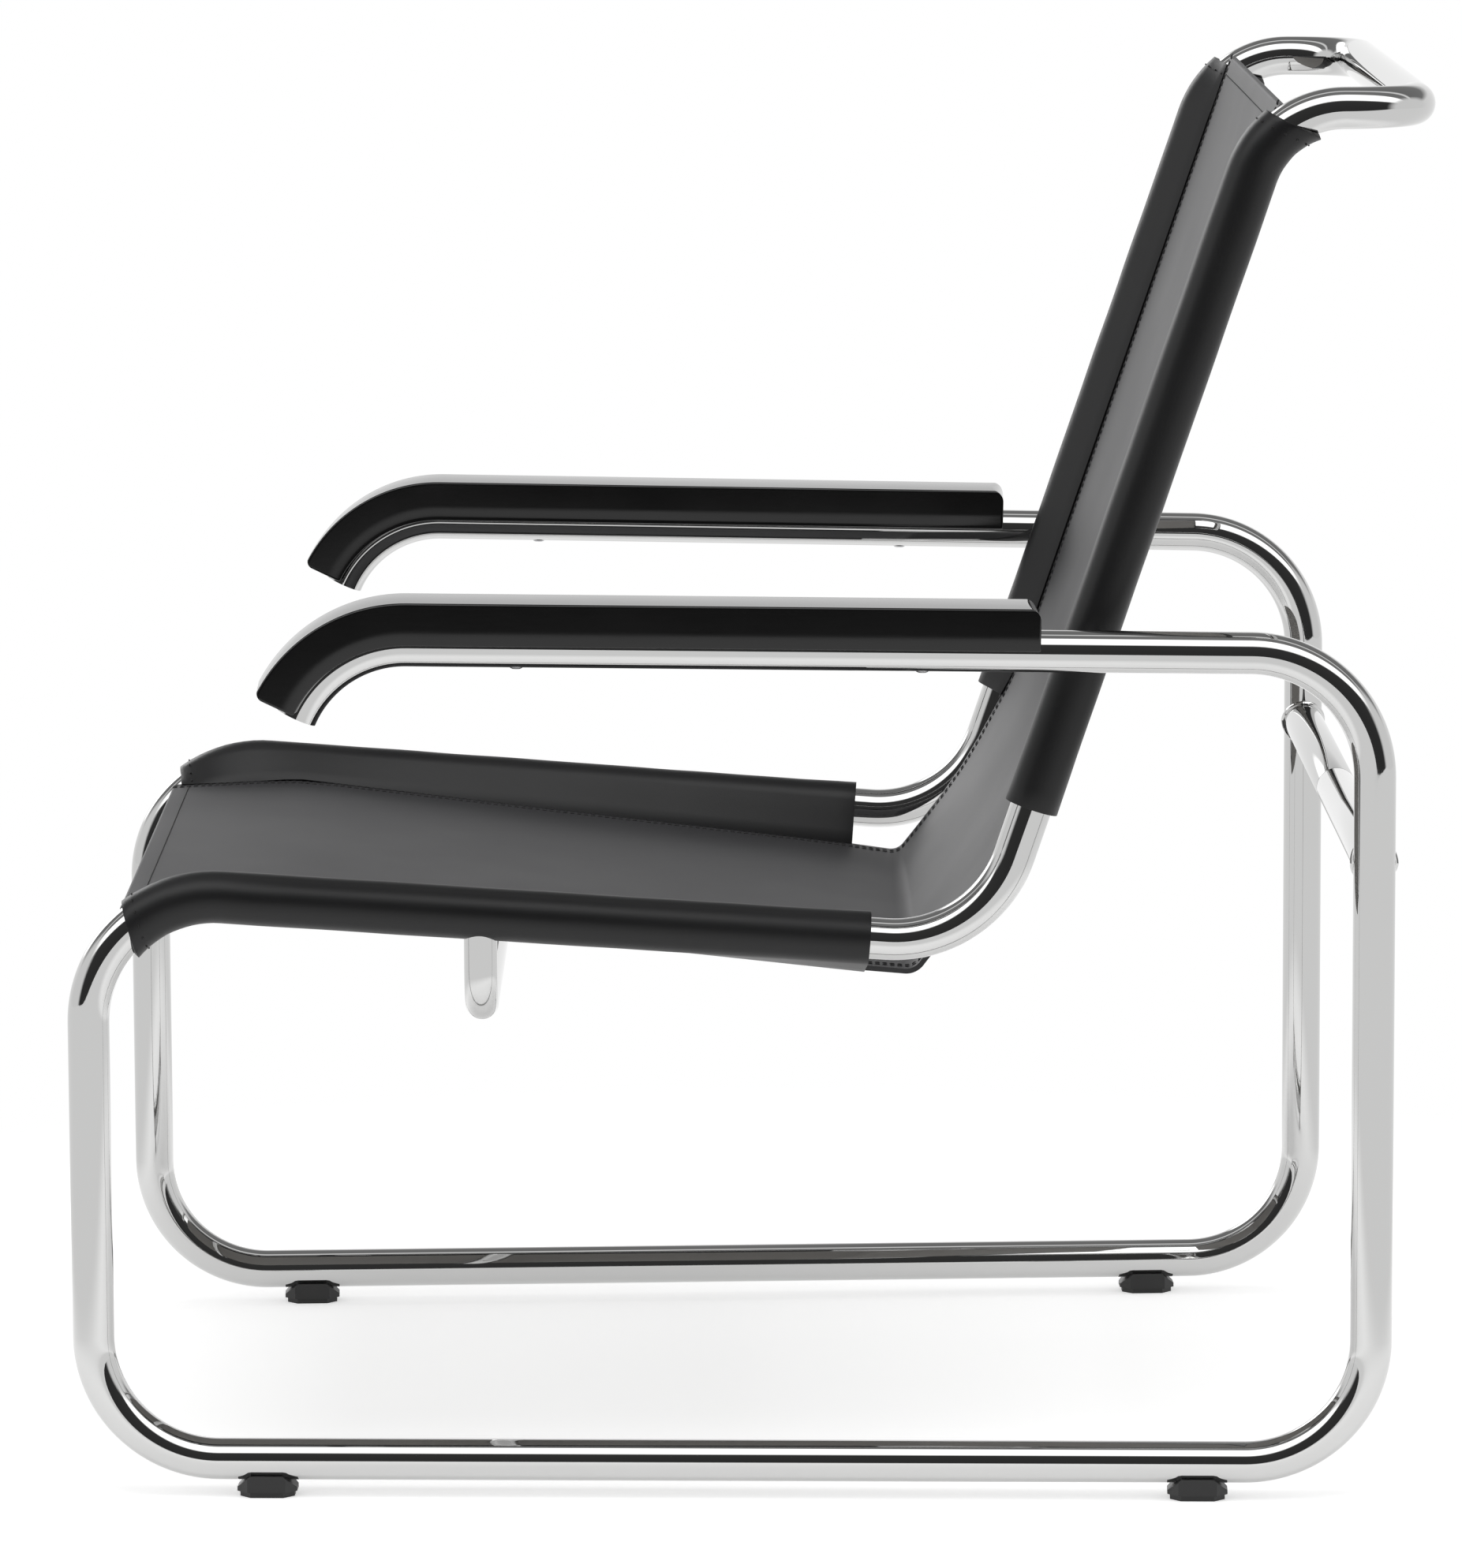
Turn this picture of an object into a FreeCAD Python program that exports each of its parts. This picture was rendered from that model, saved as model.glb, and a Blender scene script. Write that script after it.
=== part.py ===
import FreeCAD, Part
import math
import os

import Sketcher
from FreeCAD import Placement, Rotation, Vector

# Cantilever lounge chair of bent steel tube with a leather sling and wooden arm pads.
# The chair faces -Y, its width runs along X and its glides stand on Z = 0.
# The origin is the middle of the chair's plan, on the floor.

doc = FreeCAD.newDocument("lounge_chair")
sheet = doc.addObject("Spreadsheet::Sheet", "Sizes")

# Each row is an alias, a size in millimetres or an angle in degrees, and what it is.
SIZES = [
    ("overall_height", 841.0, "floor to the top of the head bar"),
    ("overall_depth", 817.4, "front of the front bends to the back of the head bar"),
    ("tube_diameter", 25.0, "outside of the frame tube"),
    ("tube_wall", 2.0, "wall of the frame tube"),
    ("bend_radius", 75.0, "centreline of the four large bends of each side"),
    ("front_width", 547.3, "front uprights, centre to centre"),
    ("rear_width", 602.3, "rear uprights, centre to centre"),
    ("rear_setback", 27.8, "rear uprights ahead of the head bar"),
    ("seat_front_height", 369.0, "seat rail at the corner above the front uprights"),
    ("seat_rear_height", 329.5, "seat rail at the corner with the back"),
    ("seat_depth", 534.3, "front corner to the corner with the back"),
    ("seat_rear_width", 515.0, "rails at the corner with the back, centre to centre"),
    ("head_width", 505.0, "back rails at the head, centre to centre"),
    ("head_reach", 86.0, "back corner at the head to the head bar"),
    ("bar_bend", 44.0, "centreline bend from head to head bar"),
    ("head_straight", 0.7, "straight between the head's bend and the bar's bend"),
    ("rail_joint_setback", 146.0, "joint of the seat rail behind the front upright"),
    ("arm_rear_height", 509.8, "arm tube at the corner above the rear upright"),
    ("arm_front_height", 520.6, "arm tube at the corner above the arm tip"),
    ("arm_front_width", 633.2, "arm tubes at the front corner, centre to centre"),
    ("arm_length", 616.5, "rear corner to front corner of the arm"),
    ("arm_bend", 70.0, "centreline bend at the arm tip"),
    ("arm_tip_angle", 65.0, "how far the arm tip turns below the horizontal"),
    ("cross_height", 385.0, "axis of the rear cross tube"),
    ("spigot_clearance", 0.1, "play round each spigot, plug and screw"),
    ("rail_spigot_length", 90.0, "spigot inside each seat rail joint"),
    ("cross_spigot_length", 80.0, "spigot inside the cross tube joint"),
    ("grub_diameter", 6.0, "set screws of the seat rail joints"),
    ("grub_length", 8.0, "set screws of the seat rail joints"),
    ("grub_spacing", 50.0, "the two set screws of a joint, centre to centre"),
    ("brace_diameter", 20.0, "outside of the brace tube under the seat"),
    ("brace_wall", 2.0, "wall of the brace tube"),
    ("brace_bend", 25.0, "centreline bend of the brace"),
    ("brace_setback", 234.2, "brace behind the front uprights"),
    ("brace_drop", 58.186, "axis of the brace's lower run below the line of the seat rails"),
    ("insert_length", 28.0, "threaded insert in each leg of the brace"),
    ("brace_screw_diameter", 6.0, "shank of the brace screws"),
    ("brace_screw_head", 10.0, "head diameter of the brace screws"),
    ("brace_screw_head_height", 4.0, "head height of the brace screws"),
    ("brace_screw_length", 22.0, "shank length of the brace screws"),
    ("brace_access", 12.0, "access hole in the top of the rail"),
    ("pad_width", 50.0, "arm pad across"),
    ("pad_rise", 30.0, "arm pad above the tube axis"),
    ("pad_skirt", 2.5, "lower edge of the pad above the tube axis"),
    ("pad_length", 372.0, "straight stretch of the arm pad"),
    ("pad_edge", 3.6, "rounding of the pad's upper edges"),
    ("pad_rear_round", 8.0, "rounding of the pad's upper rear corner"),
    ("pad_screw_diameter", 4.8, "shank of the pad screws"),
    ("pad_screw_head", 9.0, "head diameter of the pad screws"),
    ("pad_screw_head_height", 2.6, "head height of the pad screws"),
    ("pad_screw_grip", 10.0, "pad screw beyond the tube, into the wood"),
    ("pad_screw_front", 64.6, "front pad screw behind the arm bend"),
    ("pad_screw_rear", 303.6, "rear pad screw behind the arm bend"),
    ("plug_depth", 14.0, "arm end plug inside the tube"),
    ("plug_flange", 1.6, "flange of the arm end plug"),
    ("plug_play", 0.8, "play of the plug's core inside the bent tube"),
    ("glide_height", 9.4, "underside of the tube above the floor"),
    ("glide_length", 36.0, "glide along the tube"),
    ("glide_width", 24.0, "glide across the tube"),
    ("glide_corner", 6.5, "cut corners of the glide's plan"),
    ("glide_wrap", 4.0, "saddle up the side of the tube"),
    ("glide_top_length", 19.0, "upper edge of the saddle"),
    ("glide_end_height", 5.9, "saddle at its ends above the floor"),
    ("sole_height", 3.4, "sole of the glide"),
    ("sole_inset", 1.6, "sole inside the saddle's outline"),
    ("glide_front", 103.8, "front glides behind the front uprights"),
    ("glide_rear", 103.2, "rear glides ahead of the rear uprights"),
    ("glide_screw_diameter", 4.0, "shank of the glide screws"),
    ("glide_screw_head", 8.0, "head diameter of the glide screws"),
    ("glide_screw_head_height", 1.8, "head height of the glide screws"),
    ("cut_overrun", 1.0, "how far a cutting tool runs past the surface it cuts"),
    ("cutting_block", 220.0, "edge of the block that trims a sleeve's slanting end"),
    ("leather", 3.0, "thickness of the saddle leather"),
    ("sleeve_gap", 0.3, "play between a sleeve and its tube"),
    ("seam_inset", 25.0, "seam inboard of the rail axis"),
    ("seam_lap", 6.0, "panel edge held inside the seam"),
    ("seam_half", 3.0, "half the thickness of the seam"),
    ("seam_root", 10.0, "half the thickness of the leather beside the rail, at the rail's axis"),
    ("panel_front", 17.2, "panel's front edge behind the front uprights"),
    ("panel_front_drop", 15.3, "top of the panel's front edge below the line of the seat rails"),
    ("crest_setback", 100.2, "crest of the seat behind the front uprights"),
    ("crest_drop", 4.6, "crest of the seat below the line of the seat rails"),
    ("crest_round", 300.0, "rounding of the crest"),
    ("fold_ahead", 40.6, "fold between seat and back ahead of the rails' rear corners"),
    ("fold_drop", 22.2, "fold below the line of the seat rails"),
    ("fold_round", 10.0, "rounding of the fold"),
    ("lumbar_rise", 36.5, "first turn of the back above the rails' rear corners"),
    ("lumbar_ahead", 9.7, "first turn of the back ahead of the line of the back rails"),
    ("shoulder_rise", 101.6, "second turn of the back above the rails' rear corners"),
    ("shoulder_behind", 3.3, "second turn of the back behind the line of the back rails"),
    ("back_round", 250.0, "rounding of the turns of the back"),
    ("panel_top_rise", 1.5, "panel's top edge above the corners at the head"),
    ("panel_top_behind", 3.5, "panel's top edge behind the line of the back rails"),
    ("hem_width", 11.0, "folded hems at the front and top edges"),
    ("hem_ply", 2.4, "thickness of the folded strip of a hem"),
    ("corner_notch", 46.0, "radius of the notch in the panel's edge at the fold, beyond its chord"),
    ("seat_sleeve_turn", 45.3, "angle of the front bend that the seat sleeve covers"),
    ("seat_sleeve_lean", 16.5, "lean of the seat sleeve's front cut from the vertical"),
    ("seat_sleeve_rear", 68.1, "rear end of the seat sleeve ahead of the rails' rear corners"),
    ("back_sleeve_foot", 83.5, "lower end of the back sleeve above the rails' rear corners"),
    ("back_sleeve_turn", 38.8, "angle of the head's bend that the back sleeve covers"),
    ("back_sleeve_lean", 27.6, "fall of the back sleeve's upper cut from the horizontal"),
    ("leg_hole_play", 1.0, "play of the sleeve's hole round the brace leg"),
]

for row, (alias, value, meaning) in enumerate(SIZES, start=1):
    sheet.set("A%d" % row, meaning)
    sheet.set("B%d" % row, "%g" % value)
    sheet.setAlias("B%d" % row, alias)
doc.recompute()


def size(alias):
    """Value of one cell of the sheet."""
    return float(sheet.get(alias))


UP = Vector(0, 0, 1)
TOUCHING = 1e-6
LEFT, RIGHT = -1, 1
SIDES = (("left", LEFT), ("right", RIGHT))

# Planes and lines that several pieces share.
TUBE_RADIUS = size("tube_diameter") / 2
BORE_RADIUS = TUBE_RADIUS - size("tube_wall")
FRONT_Y = -size("overall_depth") / 2 + TUBE_RADIUS
HEAD_Y = size("overall_depth") / 2 - TUBE_RADIUS
REAR_Y = HEAD_Y - size("rear_setback")
RUNNER_Z = size("glide_height") + TUBE_RADIUS
HEAD_Z = size("overall_height") - TUBE_RADIUS


def unit(vector):
    """The same direction with length one."""
    return Vector(vector).normalize()


def between(start, end, share):
    """Point at a share of the way from start to end."""
    return start + (end - start) * share


# Corner points of the frame's centreline, for the side at X < 0 or X > 0.


def floor_front(side):
    return Vector(side * size("front_width") / 2, FRONT_Y, RUNNER_Z)


def floor_rear(side):
    return Vector(side * size("rear_width") / 2, REAR_Y, RUNNER_Z)


def seat_front(side):
    return Vector(side * size("front_width") / 2, FRONT_Y, size("seat_front_height"))


def seat_rear(side):
    return Vector(side * size("seat_rear_width") / 2, FRONT_Y + size("seat_depth"), size("seat_rear_height"))


def back_top(side):
    return Vector(side * size("head_width") / 2, HEAD_Y - size("head_reach"), HEAD_Z)


def bar_corner(side):
    return Vector(side * size("head_width") / 2, HEAD_Y, HEAD_Z)


def arm_rear(side):
    return Vector(side * size("rear_width") / 2, REAR_Y, size("arm_rear_height"))


def arm_front(side):
    return Vector(side * size("arm_front_width") / 2, REAR_Y - size("arm_length"), size("arm_front_height"))


def rail_point(side, setback):
    """Point on the seat rail's axis, at a distance behind the front uprights."""
    return between(seat_front(side), seat_rear(side), setback / size("seat_depth"))


def runner_point(side, y):
    """Point on the floor runner's axis."""
    return between(floor_front(side), floor_rear(side), (y - FRONT_Y) / (REAR_Y - FRONT_Y))


def arm_reach():
    """Length from the arm's front corner to the end of its bend."""
    rise = arm_front(RIGHT).z - arm_rear(RIGHT).z
    slope = math.asin(rise / (arm_front(RIGHT) - arm_rear(RIGHT)).Length)
    return size("arm_bend") * math.tan((math.radians(size("arm_tip_angle")) + slope) / 2)


def arm_outward(side):
    """The way the arm tube's open end points."""
    forward = arm_front(side) - arm_rear(side)
    level = unit(Vector(forward.x, forward.y, 0))
    drop = math.radians(size("arm_tip_angle"))
    return level * math.cos(drop) - UP * math.sin(drop)


def arm_tip(side):
    """Centre of the arm tube's open end, where its bend stops."""
    return arm_front(side) + arm_outward(side) * arm_reach()


def arm_frame(side):
    """Placement whose origin is the centre of the arm's bend and whose Y runs back along the arm."""
    along = unit(arm_rear(side) - arm_front(side))
    across = unit(along.cross(UP))
    up = across.cross(along)
    bend_start = arm_front(side) + along * arm_reach()
    return Placement(bend_start - up * size("arm_bend"), Rotation(across, along, up, "YZX"))


def head_bend():
    """Centreline radius from back rail to head that leaves the named straight before the bar's bend."""
    turn = (back_top(RIGHT) - seat_rear(RIGHT)).getAngle(bar_corner(RIGHT) - back_top(RIGHT))
    reach = size("head_reach") - size("head_straight") - size("bar_bend")
    return reach / math.tan(turn / 2)


def bend_point(corner, before, after, radius, angle):
    """Point of a rounded corner's arc at an angle from the arc's start, and the heading there."""
    back = unit(before - corner)
    ahead = unit(after - corner)
    half_turn = (math.pi - back.getAngle(ahead)) / 2
    start = corner + back * (radius * math.tan(half_turn))
    centre = corner + unit(back + ahead) * (radius / math.cos(half_turn))
    spoke = unit(start - centre)
    point = centre + (spoke * math.cos(angle) - back * math.sin(angle)) * radius
    return point, unit(-back * math.cos(angle) - spoke * math.sin(angle))


def rounded_route(corners, radii):
    """Wire of straight runs joined by tangent arcs, with one radius for each inner corner."""
    edges = []
    start = corners[0]
    for before, corner, after, radius in zip(corners, corners[1:], corners[2:], radii):
        back = unit(before - corner)
        ahead = unit(after - corner)
        half_turn = (math.pi - back.getAngle(ahead)) / 2
        reach = radius * math.tan(half_turn)
        arc_start = corner + back * reach
        arc_end = corner + ahead * reach
        arc_middle = corner + unit(back + ahead) * (radius / math.cos(half_turn) - radius)
        if (arc_start - start).Length > TOUCHING:
            edges.append(Part.LineSegment(start, arc_start).toShape())
        edges.append(Part.Arc(arc_start, arc_middle, arc_end).toShape())
        start = arc_end
    if (corners[-1] - start).Length > TOUCHING:
        edges.append(Part.LineSegment(start, corners[-1]).toShape())
    return Part.Wire(edges)


def swept_rod(name, wire, radius):
    """Round bar along a route, its radius an expression of the sheet."""
    route = doc.addObject("Part::Feature", name + "_route")
    route.Shape = wire
    first = wire.OrderedEdges[0]
    start = wire.OrderedVertexes[0].Point
    heading = first.tangentAt(first.FirstParameter)
    if (first.valueAt(first.FirstParameter) - start).Length > TOUCHING:
        heading = -first.tangentAt(first.LastParameter)
    ring = doc.addObject("Part::Circle", name + "_ring")
    ring.setExpression("Radius", radius)
    ring.Placement = Placement(start, Rotation(UP, heading))
    sweep = doc.addObject("Part::Sweep", name)
    sweep.Sections = [ring]
    sweep.Spine = (route, [])
    sweep.Solid = True
    return sweep


def rod(name, start, heading, radius, length):
    """Cylinder from a point along a heading, its radius and length expressions of the sheet."""
    bar = doc.addObject("Part::Cylinder", name)
    bar.setExpression("Radius", radius)
    bar.setExpression("Height", length)
    bar.Placement = Placement(start, Rotation(UP, heading))
    return bar


def cut(name, base, tools):
    """Base less each of the tools."""
    tool = tools[0]
    if len(tools) > 1:
        tool = joined(name + "_tools", tools)
    result = doc.addObject("Part::Cut", name)
    result.Base = base
    result.Tool = tool
    return result


def joined(name, pieces):
    """Pieces fused into one shape, or kept side by side where they don't touch."""
    result = doc.addObject("Part::MultiFuse", name)
    result.Shapes = pieces
    return result


# The nodes that are written out, in the order they are made.
nodes = []


def node(name, piece):
    """Gives a finished piece its name and lists it."""
    piece.Label = name
    nodes.append((name, piece))
    return piece


# Frame tubes


def grub_place(side, share):
    """Seat and heading of a set screw, under the rail, ahead of (-1) or behind (1) the joint."""
    joint = rail_point(side, size("rail_joint_setback"))
    along = unit(seat_rear(side) - seat_front(side))
    upward = unit(UP - along * along.dot(UP))
    return joint + along * (share * size("grub_spacing") / 2) - upward * TUBE_RADIUS, upward


def grub_hole(name, side, share):
    """Hole for a set screw through the rail's lower wall and into its spigot."""
    seat, heading = grub_place(side, share)
    return rod(name, seat - heading * size("cut_overrun"), heading,
               "Sizes.grub_diameter / 2 + Sizes.spigot_clearance",
               "Sizes.grub_length + 2 * Sizes.cut_overrun")


def pad_screw_place(side, setback):
    """Point under the arm tube and heading of a pad screw."""
    frame = arm_frame(side)
    seat = Vector(0, setback, size("arm_bend") - TUBE_RADIUS)
    return frame.multVec(seat), frame.Rotation.multVec(UP)


def side_frame(name, side):
    """One side of the frame: seat rail front, front upright, runner, rear upright and arm."""
    corners = [rail_point(side, size("rail_joint_setback")), seat_front(side), floor_front(side),
               floor_rear(side), arm_rear(side), arm_front(side), arm_tip(side)]
    radii = [size("bend_radius")] * 4 + [size("arm_bend")]
    route = rounded_route(corners, radii)
    skin = swept_rod(name + "_skin", route, "Sizes.tube_diameter / 2")
    bore = swept_rod(name + "_bore", route, "Sizes.tube_diameter / 2 - Sizes.tube_wall")
    holes = [grub_hole(name + "_grub_hole", side, -1)]
    for end in ("front", "rear"):
        seat, heading = pad_screw_place(side, size("pad_screw_" + end))
        holes.append(rod(name + "_pad_hole_" + end, seat - heading * size("cut_overrun"), heading,
                         "Sizes.pad_screw_diameter / 2 + Sizes.spigot_clearance",
                         "Sizes.tube_diameter + 2 * Sizes.cut_overrun"))
    node(name, cut(name, skin, [bore] + holes))


def loop_corners():
    """Centreline corners of the loop of both seat rails, both back rails and the head bar."""
    left, right = [[rail_point(side, size("rail_joint_setback")), seat_rear(side), back_top(side),
                    bar_corner(side)] for side in (LEFT, RIGHT)]
    return left + right[::-1]


def loop_route():
    """Centreline of the seat and back loop."""
    bends = [size("bend_radius"), head_bend(), size("bar_bend")]
    return rounded_route(loop_corners(), bends + bends[::-1])


def brace_top(side):
    """Point on the rail's axis above a leg of the brace."""
    return rail_point(side, size("brace_setback"))


def seat_back_loop():
    """Rear stretches of the seat rails, the back rails and the head bar in one bent tube."""
    name = "seat_back_loop"
    skin = swept_rod(name + "_skin", loop_route(), "Sizes.tube_diameter / 2")
    bore = swept_rod(name + "_bore", loop_route(), "Sizes.tube_diameter / 2 - Sizes.tube_wall")
    holes = []
    for label, side in SIDES:
        holes.append(grub_hole(name + "_grub_hole_" + label, side, 1))
        holes.append(rod(name + "_access_" + label, brace_top(side), UP, "Sizes.brace_access / 2",
                         "Sizes.tube_diameter"))
        holes.append(rod(name + "_brace_hole_" + label, brace_top(side), -UP,
                         "Sizes.brace_screw_diameter / 2 + Sizes.spigot_clearance", "Sizes.tube_diameter"))
    node(name, cut(name, skin, [bore] + holes))


def rail_joint(label, side):
    """Spigot inside the joint of one seat rail."""
    name = label + "_rail_spigot"
    along = unit(seat_rear(side) - seat_front(side))
    joint = rail_point(side, size("rail_joint_setback"))
    bar = rod(name + "_bar", joint - along * (size("rail_spigot_length") / 2), along,
              "Sizes.tube_diameter / 2 - Sizes.tube_wall - Sizes.spigot_clearance",
              "Sizes.rail_spigot_length")
    holes = [grub_hole(name + "_hole_front", side, -1), grub_hole(name + "_hole_rear", side, 1)]
    node(name, cut(name, bar, holes))


def rail_joint_screws():
    """Set screws that hold the frame's three tubes on the spigots."""
    screws = []
    for label, side in SIDES:
        for place, share in (("front", -1), ("rear", 1)):
            seat, heading = grub_place(side, share)
            screws.append(rod("grub_%s_%s" % (label, place), seat + heading * size("spigot_clearance"),
                              heading, "Sizes.grub_diameter / 2", "Sizes.grub_length"))
    node("rail_joint_screws", joined("rail_joint_screws", screws))


# Rear cross tube


def cross_tube(label, side):
    """Half of the rear cross tube, its outer end shaped to the rear upright."""
    name = label + "_cross_tube"
    end = Vector(side * size("rear_width") / 2, REAR_Y, size("cross_height"))
    middle = Vector(0, REAR_Y, size("cross_height"))
    skin = rod(name + "_skin", middle, Vector(side, 0, 0), "Sizes.tube_diameter / 2", "Sizes.rear_width / 2")
    bore = rod(name + "_bore", middle, Vector(side, 0, 0), "Sizes.tube_diameter / 2 - Sizes.tube_wall",
               "Sizes.rear_width / 2")
    upright = rod(name + "_cope", end - UP * size("tube_diameter"), UP, "Sizes.tube_diameter / 2",
                  "Sizes.tube_diameter * 2")
    node(name, cut(name, skin, [bore, upright]))


def cross_spigot():
    """Spigot inside the middle joint of the rear cross tube."""
    name = "cross_tube_spigot"
    start = Vector(-size("cross_spigot_length") / 2, REAR_Y, size("cross_height"))
    node(name, rod(name, start, Vector(1, 0, 0),
                   "Sizes.tube_diameter / 2 - Sizes.tube_wall - Sizes.spigot_clearance",
                   "Sizes.cross_spigot_length"))


# Brace under the seat


def under_seat_brace():
    """U-shaped tube whose legs meet the undersides of the seat rails."""
    name = "under_seat_brace"
    low = UP * size("brace_drop")
    corners = [brace_top(LEFT), brace_top(LEFT) - low, brace_top(RIGHT) - low, brace_top(RIGHT)]
    route = rounded_route(corners, [size("brace_bend")] * 2)
    skin = swept_rod(name + "_skin", route, "Sizes.brace_diameter / 2")
    bore = swept_rod(name + "_bore", route, "Sizes.brace_diameter / 2 - Sizes.brace_wall")
    rails = swept_rod(name + "_cope", loop_route(), "Sizes.tube_diameter / 2")
    node(name, cut(name, skin, [bore, rails]))


def brace_inserts():
    """Threaded inserts in the upper ends of the brace's legs."""
    name = "brace_inserts"
    bars = []
    holes = [swept_rod(name + "_cope", loop_route(), "Sizes.tube_diameter / 2")]
    for label, side in SIDES:
        bars.append(rod(name + "_bar_" + label, brace_top(side), -UP,
                        "Sizes.brace_diameter / 2 - Sizes.brace_wall - Sizes.spigot_clearance",
                        "Sizes.tube_diameter / 2 + Sizes.insert_length"))
        holes.append(rod(name + "_hole_" + label, brace_top(side), -UP,
                         "Sizes.brace_screw_diameter / 2 + Sizes.spigot_clearance",
                         "Sizes.tube_diameter + Sizes.insert_length"))
    node(name, cut(name, joined(name + "_bars", bars), holes))


def brace_screws():
    """Screws inside the rails that hold the brace, their heads on the rails' lower walls."""
    head_radius = size("brace_screw_head") / 2
    head_seat = math.sqrt(BORE_RADIUS ** 2 - head_radius ** 2) - size("spigot_clearance")
    pieces = []
    for label, side in SIDES:
        seat = brace_top(side) - UP * head_seat
        pieces.append(rod("brace_screw_head_" + label, seat, UP, "Sizes.brace_screw_head / 2",
                          "Sizes.brace_screw_head_height"))
        pieces.append(rod("brace_screw_shank_" + label, seat, -UP, "Sizes.brace_screw_diameter / 2",
                          "Sizes.brace_screw_length"))
    node("brace_screws", joined("brace_screws", pieces))


# Sketches whose corners are pairs of expressions of the sheet


def plane(body, role):
    """One of the body's own origin planes."""
    return [item for item in body.Origin.OriginFeatures if item.Role == role][0]


def fix(sketch, kind, line, expression):
    """Holds the start of a line at a distance from the origin."""
    index = sketch.addConstraint(Sketcher.Constraint(kind, -1, 1, line, 1, 1.0))
    sketch.setExpression("Constraints[%d]" % index, expression)


def outlines(body, role, name, polygons):
    """Sketch of closed polygons on one of the body's planes."""
    sketch = body.newObject("Sketcher::SketchObject", name)
    sketch.AttachmentSupport = [(plane(body, role), "")]
    sketch.MapMode = "FlatFace"
    for corners in polygons:
        first = sketch.GeometryCount
        count = len(corners)
        guess = []
        for place in range(count):
            turn = 2 * math.pi * place / count
            guess.append(Vector(math.cos(turn), math.sin(turn), 0) * count)
        for place in range(count):
            sketch.addGeometry(Part.LineSegment(guess[place], guess[(place + 1) % count]))
        for place in range(count):
            following = first + (place + 1) % count
            sketch.addConstraint(Sketcher.Constraint("Coincident", first + place, 2, following, 1))
        for place, (across, up) in enumerate(corners):
            fix(sketch, "DistanceX", first + place, across)
            fix(sketch, "DistanceY", first + place, up)
    return sketch


def ring_sketch(body, role, name, height, radius):
    """Sketch of a circle on the second axis of one of the body's planes."""
    sketch = body.newObject("Sketcher::SketchObject", name)
    sketch.AttachmentSupport = [(plane(body, role), "")]
    sketch.MapMode = "FlatFace"
    sketch.addGeometry(Part.Circle(Vector(0, 1, 0), UP, 1.0))
    sketch.addConstraint(Sketcher.Constraint("PointOnObject", 0, 3, -2))
    up = sketch.addConstraint(Sketcher.Constraint("DistanceY", -1, 1, 0, 3, 1.0))
    sketch.setExpression("Constraints[%d]" % up, height)
    wide = sketch.addConstraint(Sketcher.Constraint("Radius", 0, 1.0))
    sketch.setExpression("Constraints[%d]" % wide, radius)
    return sketch


def pad(body, name, sketch, length, midplane):
    """Sketch drawn out into a solid."""
    feature = body.newObject("PartDesign::Pad", name)
    feature.Profile = sketch
    feature.Midplane = midplane
    feature.setExpression("Length", length)
    return feature


def pocket_both_ways(body, name, sketch):
    """Sketch cut through the solid on both sides of its plane."""
    feature = body.newObject("PartDesign::Pocket", name)
    feature.Profile = sketch
    feature.Type = 1
    feature.Midplane = True
    return feature


# Glides: a saddle under the runner, a sole below it and a screw through both


def glide_places():
    """Name, side and plan position of each glide."""
    places = []
    for label, side in SIDES:
        places.append((label + "_front", side, FRONT_Y + size("glide_front")))
        places.append((label + "_rear", side, REAR_Y - size("glide_rear")))
    return places


def glide_frame(side, y):
    """Placement on the floor under the runner, with Y along the runner."""
    along = floor_rear(side) - floor_front(side)
    point = runner_point(side, y)
    turn = math.degrees(math.atan2(-along.x, along.y))
    return Placement(Vector(point.x, point.y, 0), Rotation(UP, turn))


def cut_corners(body, name, half_width, half_length, corner):
    """Triangles outside the cut corners of a plan."""
    triangles = []
    for x in ("", "-"):
        for y in ("", "-"):
            triangles.append([
                ("%s(%s)" % (x, half_width), "%s(%s - %s)" % (y, half_length, corner)),
                ("%s(%s + Sizes.cut_overrun)" % (x, half_width),
                 "%s(%s + Sizes.cut_overrun)" % (y, half_length)),
                ("%s(%s - %s)" % (x, half_width, corner), "%s(%s)" % (y, half_length))])
    sketch = outlines(body, "XY_Plane", name + "_corners", triangles)
    return pocket_both_ways(body, name + "_corner_cut", sketch)


def glide_saddle(label, side, y):
    """Upper half of a glide: hollowed to the tube, with sloping ends and cut corners."""
    name = label + "_glide_saddle"
    body = doc.addObject("PartDesign::Body", name)
    long_half = "Sizes.glide_length / 2"
    top_half = "Sizes.glide_top_length / 2"
    top = "Sizes.glide_height + Sizes.glide_wrap"
    profile = outlines(body, "YZ_Plane", name + "_profile", [[
        ("-(%s)" % long_half, "Sizes.sole_height"), (long_half, "Sizes.sole_height"),
        (long_half, "Sizes.glide_end_height"), (top_half, top),
        ("-(%s)" % top_half, top), ("-(%s)" % long_half, "Sizes.glide_end_height")]])
    pad(body, name + "_block", profile, "Sizes.glide_width", True)
    cut_corners(body, name, "Sizes.glide_width / 2", long_half, "Sizes.glide_corner")
    seat = ring_sketch(body, "XZ_Plane", name + "_seat", "Sizes.glide_height + Sizes.tube_diameter / 2",
                       "Sizes.tube_diameter / 2")
    pocket_both_ways(body, name + "_seat_cut", seat)
    hole = ring_sketch(body, "XY_Plane", name + "_hole", "0",
                       "Sizes.glide_screw_diameter / 2 + Sizes.spigot_clearance")
    body.Tip = pocket_both_ways(body, name + "_hole_cut", hole)
    body.Placement = glide_frame(side, y)
    node(name, body)


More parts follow.
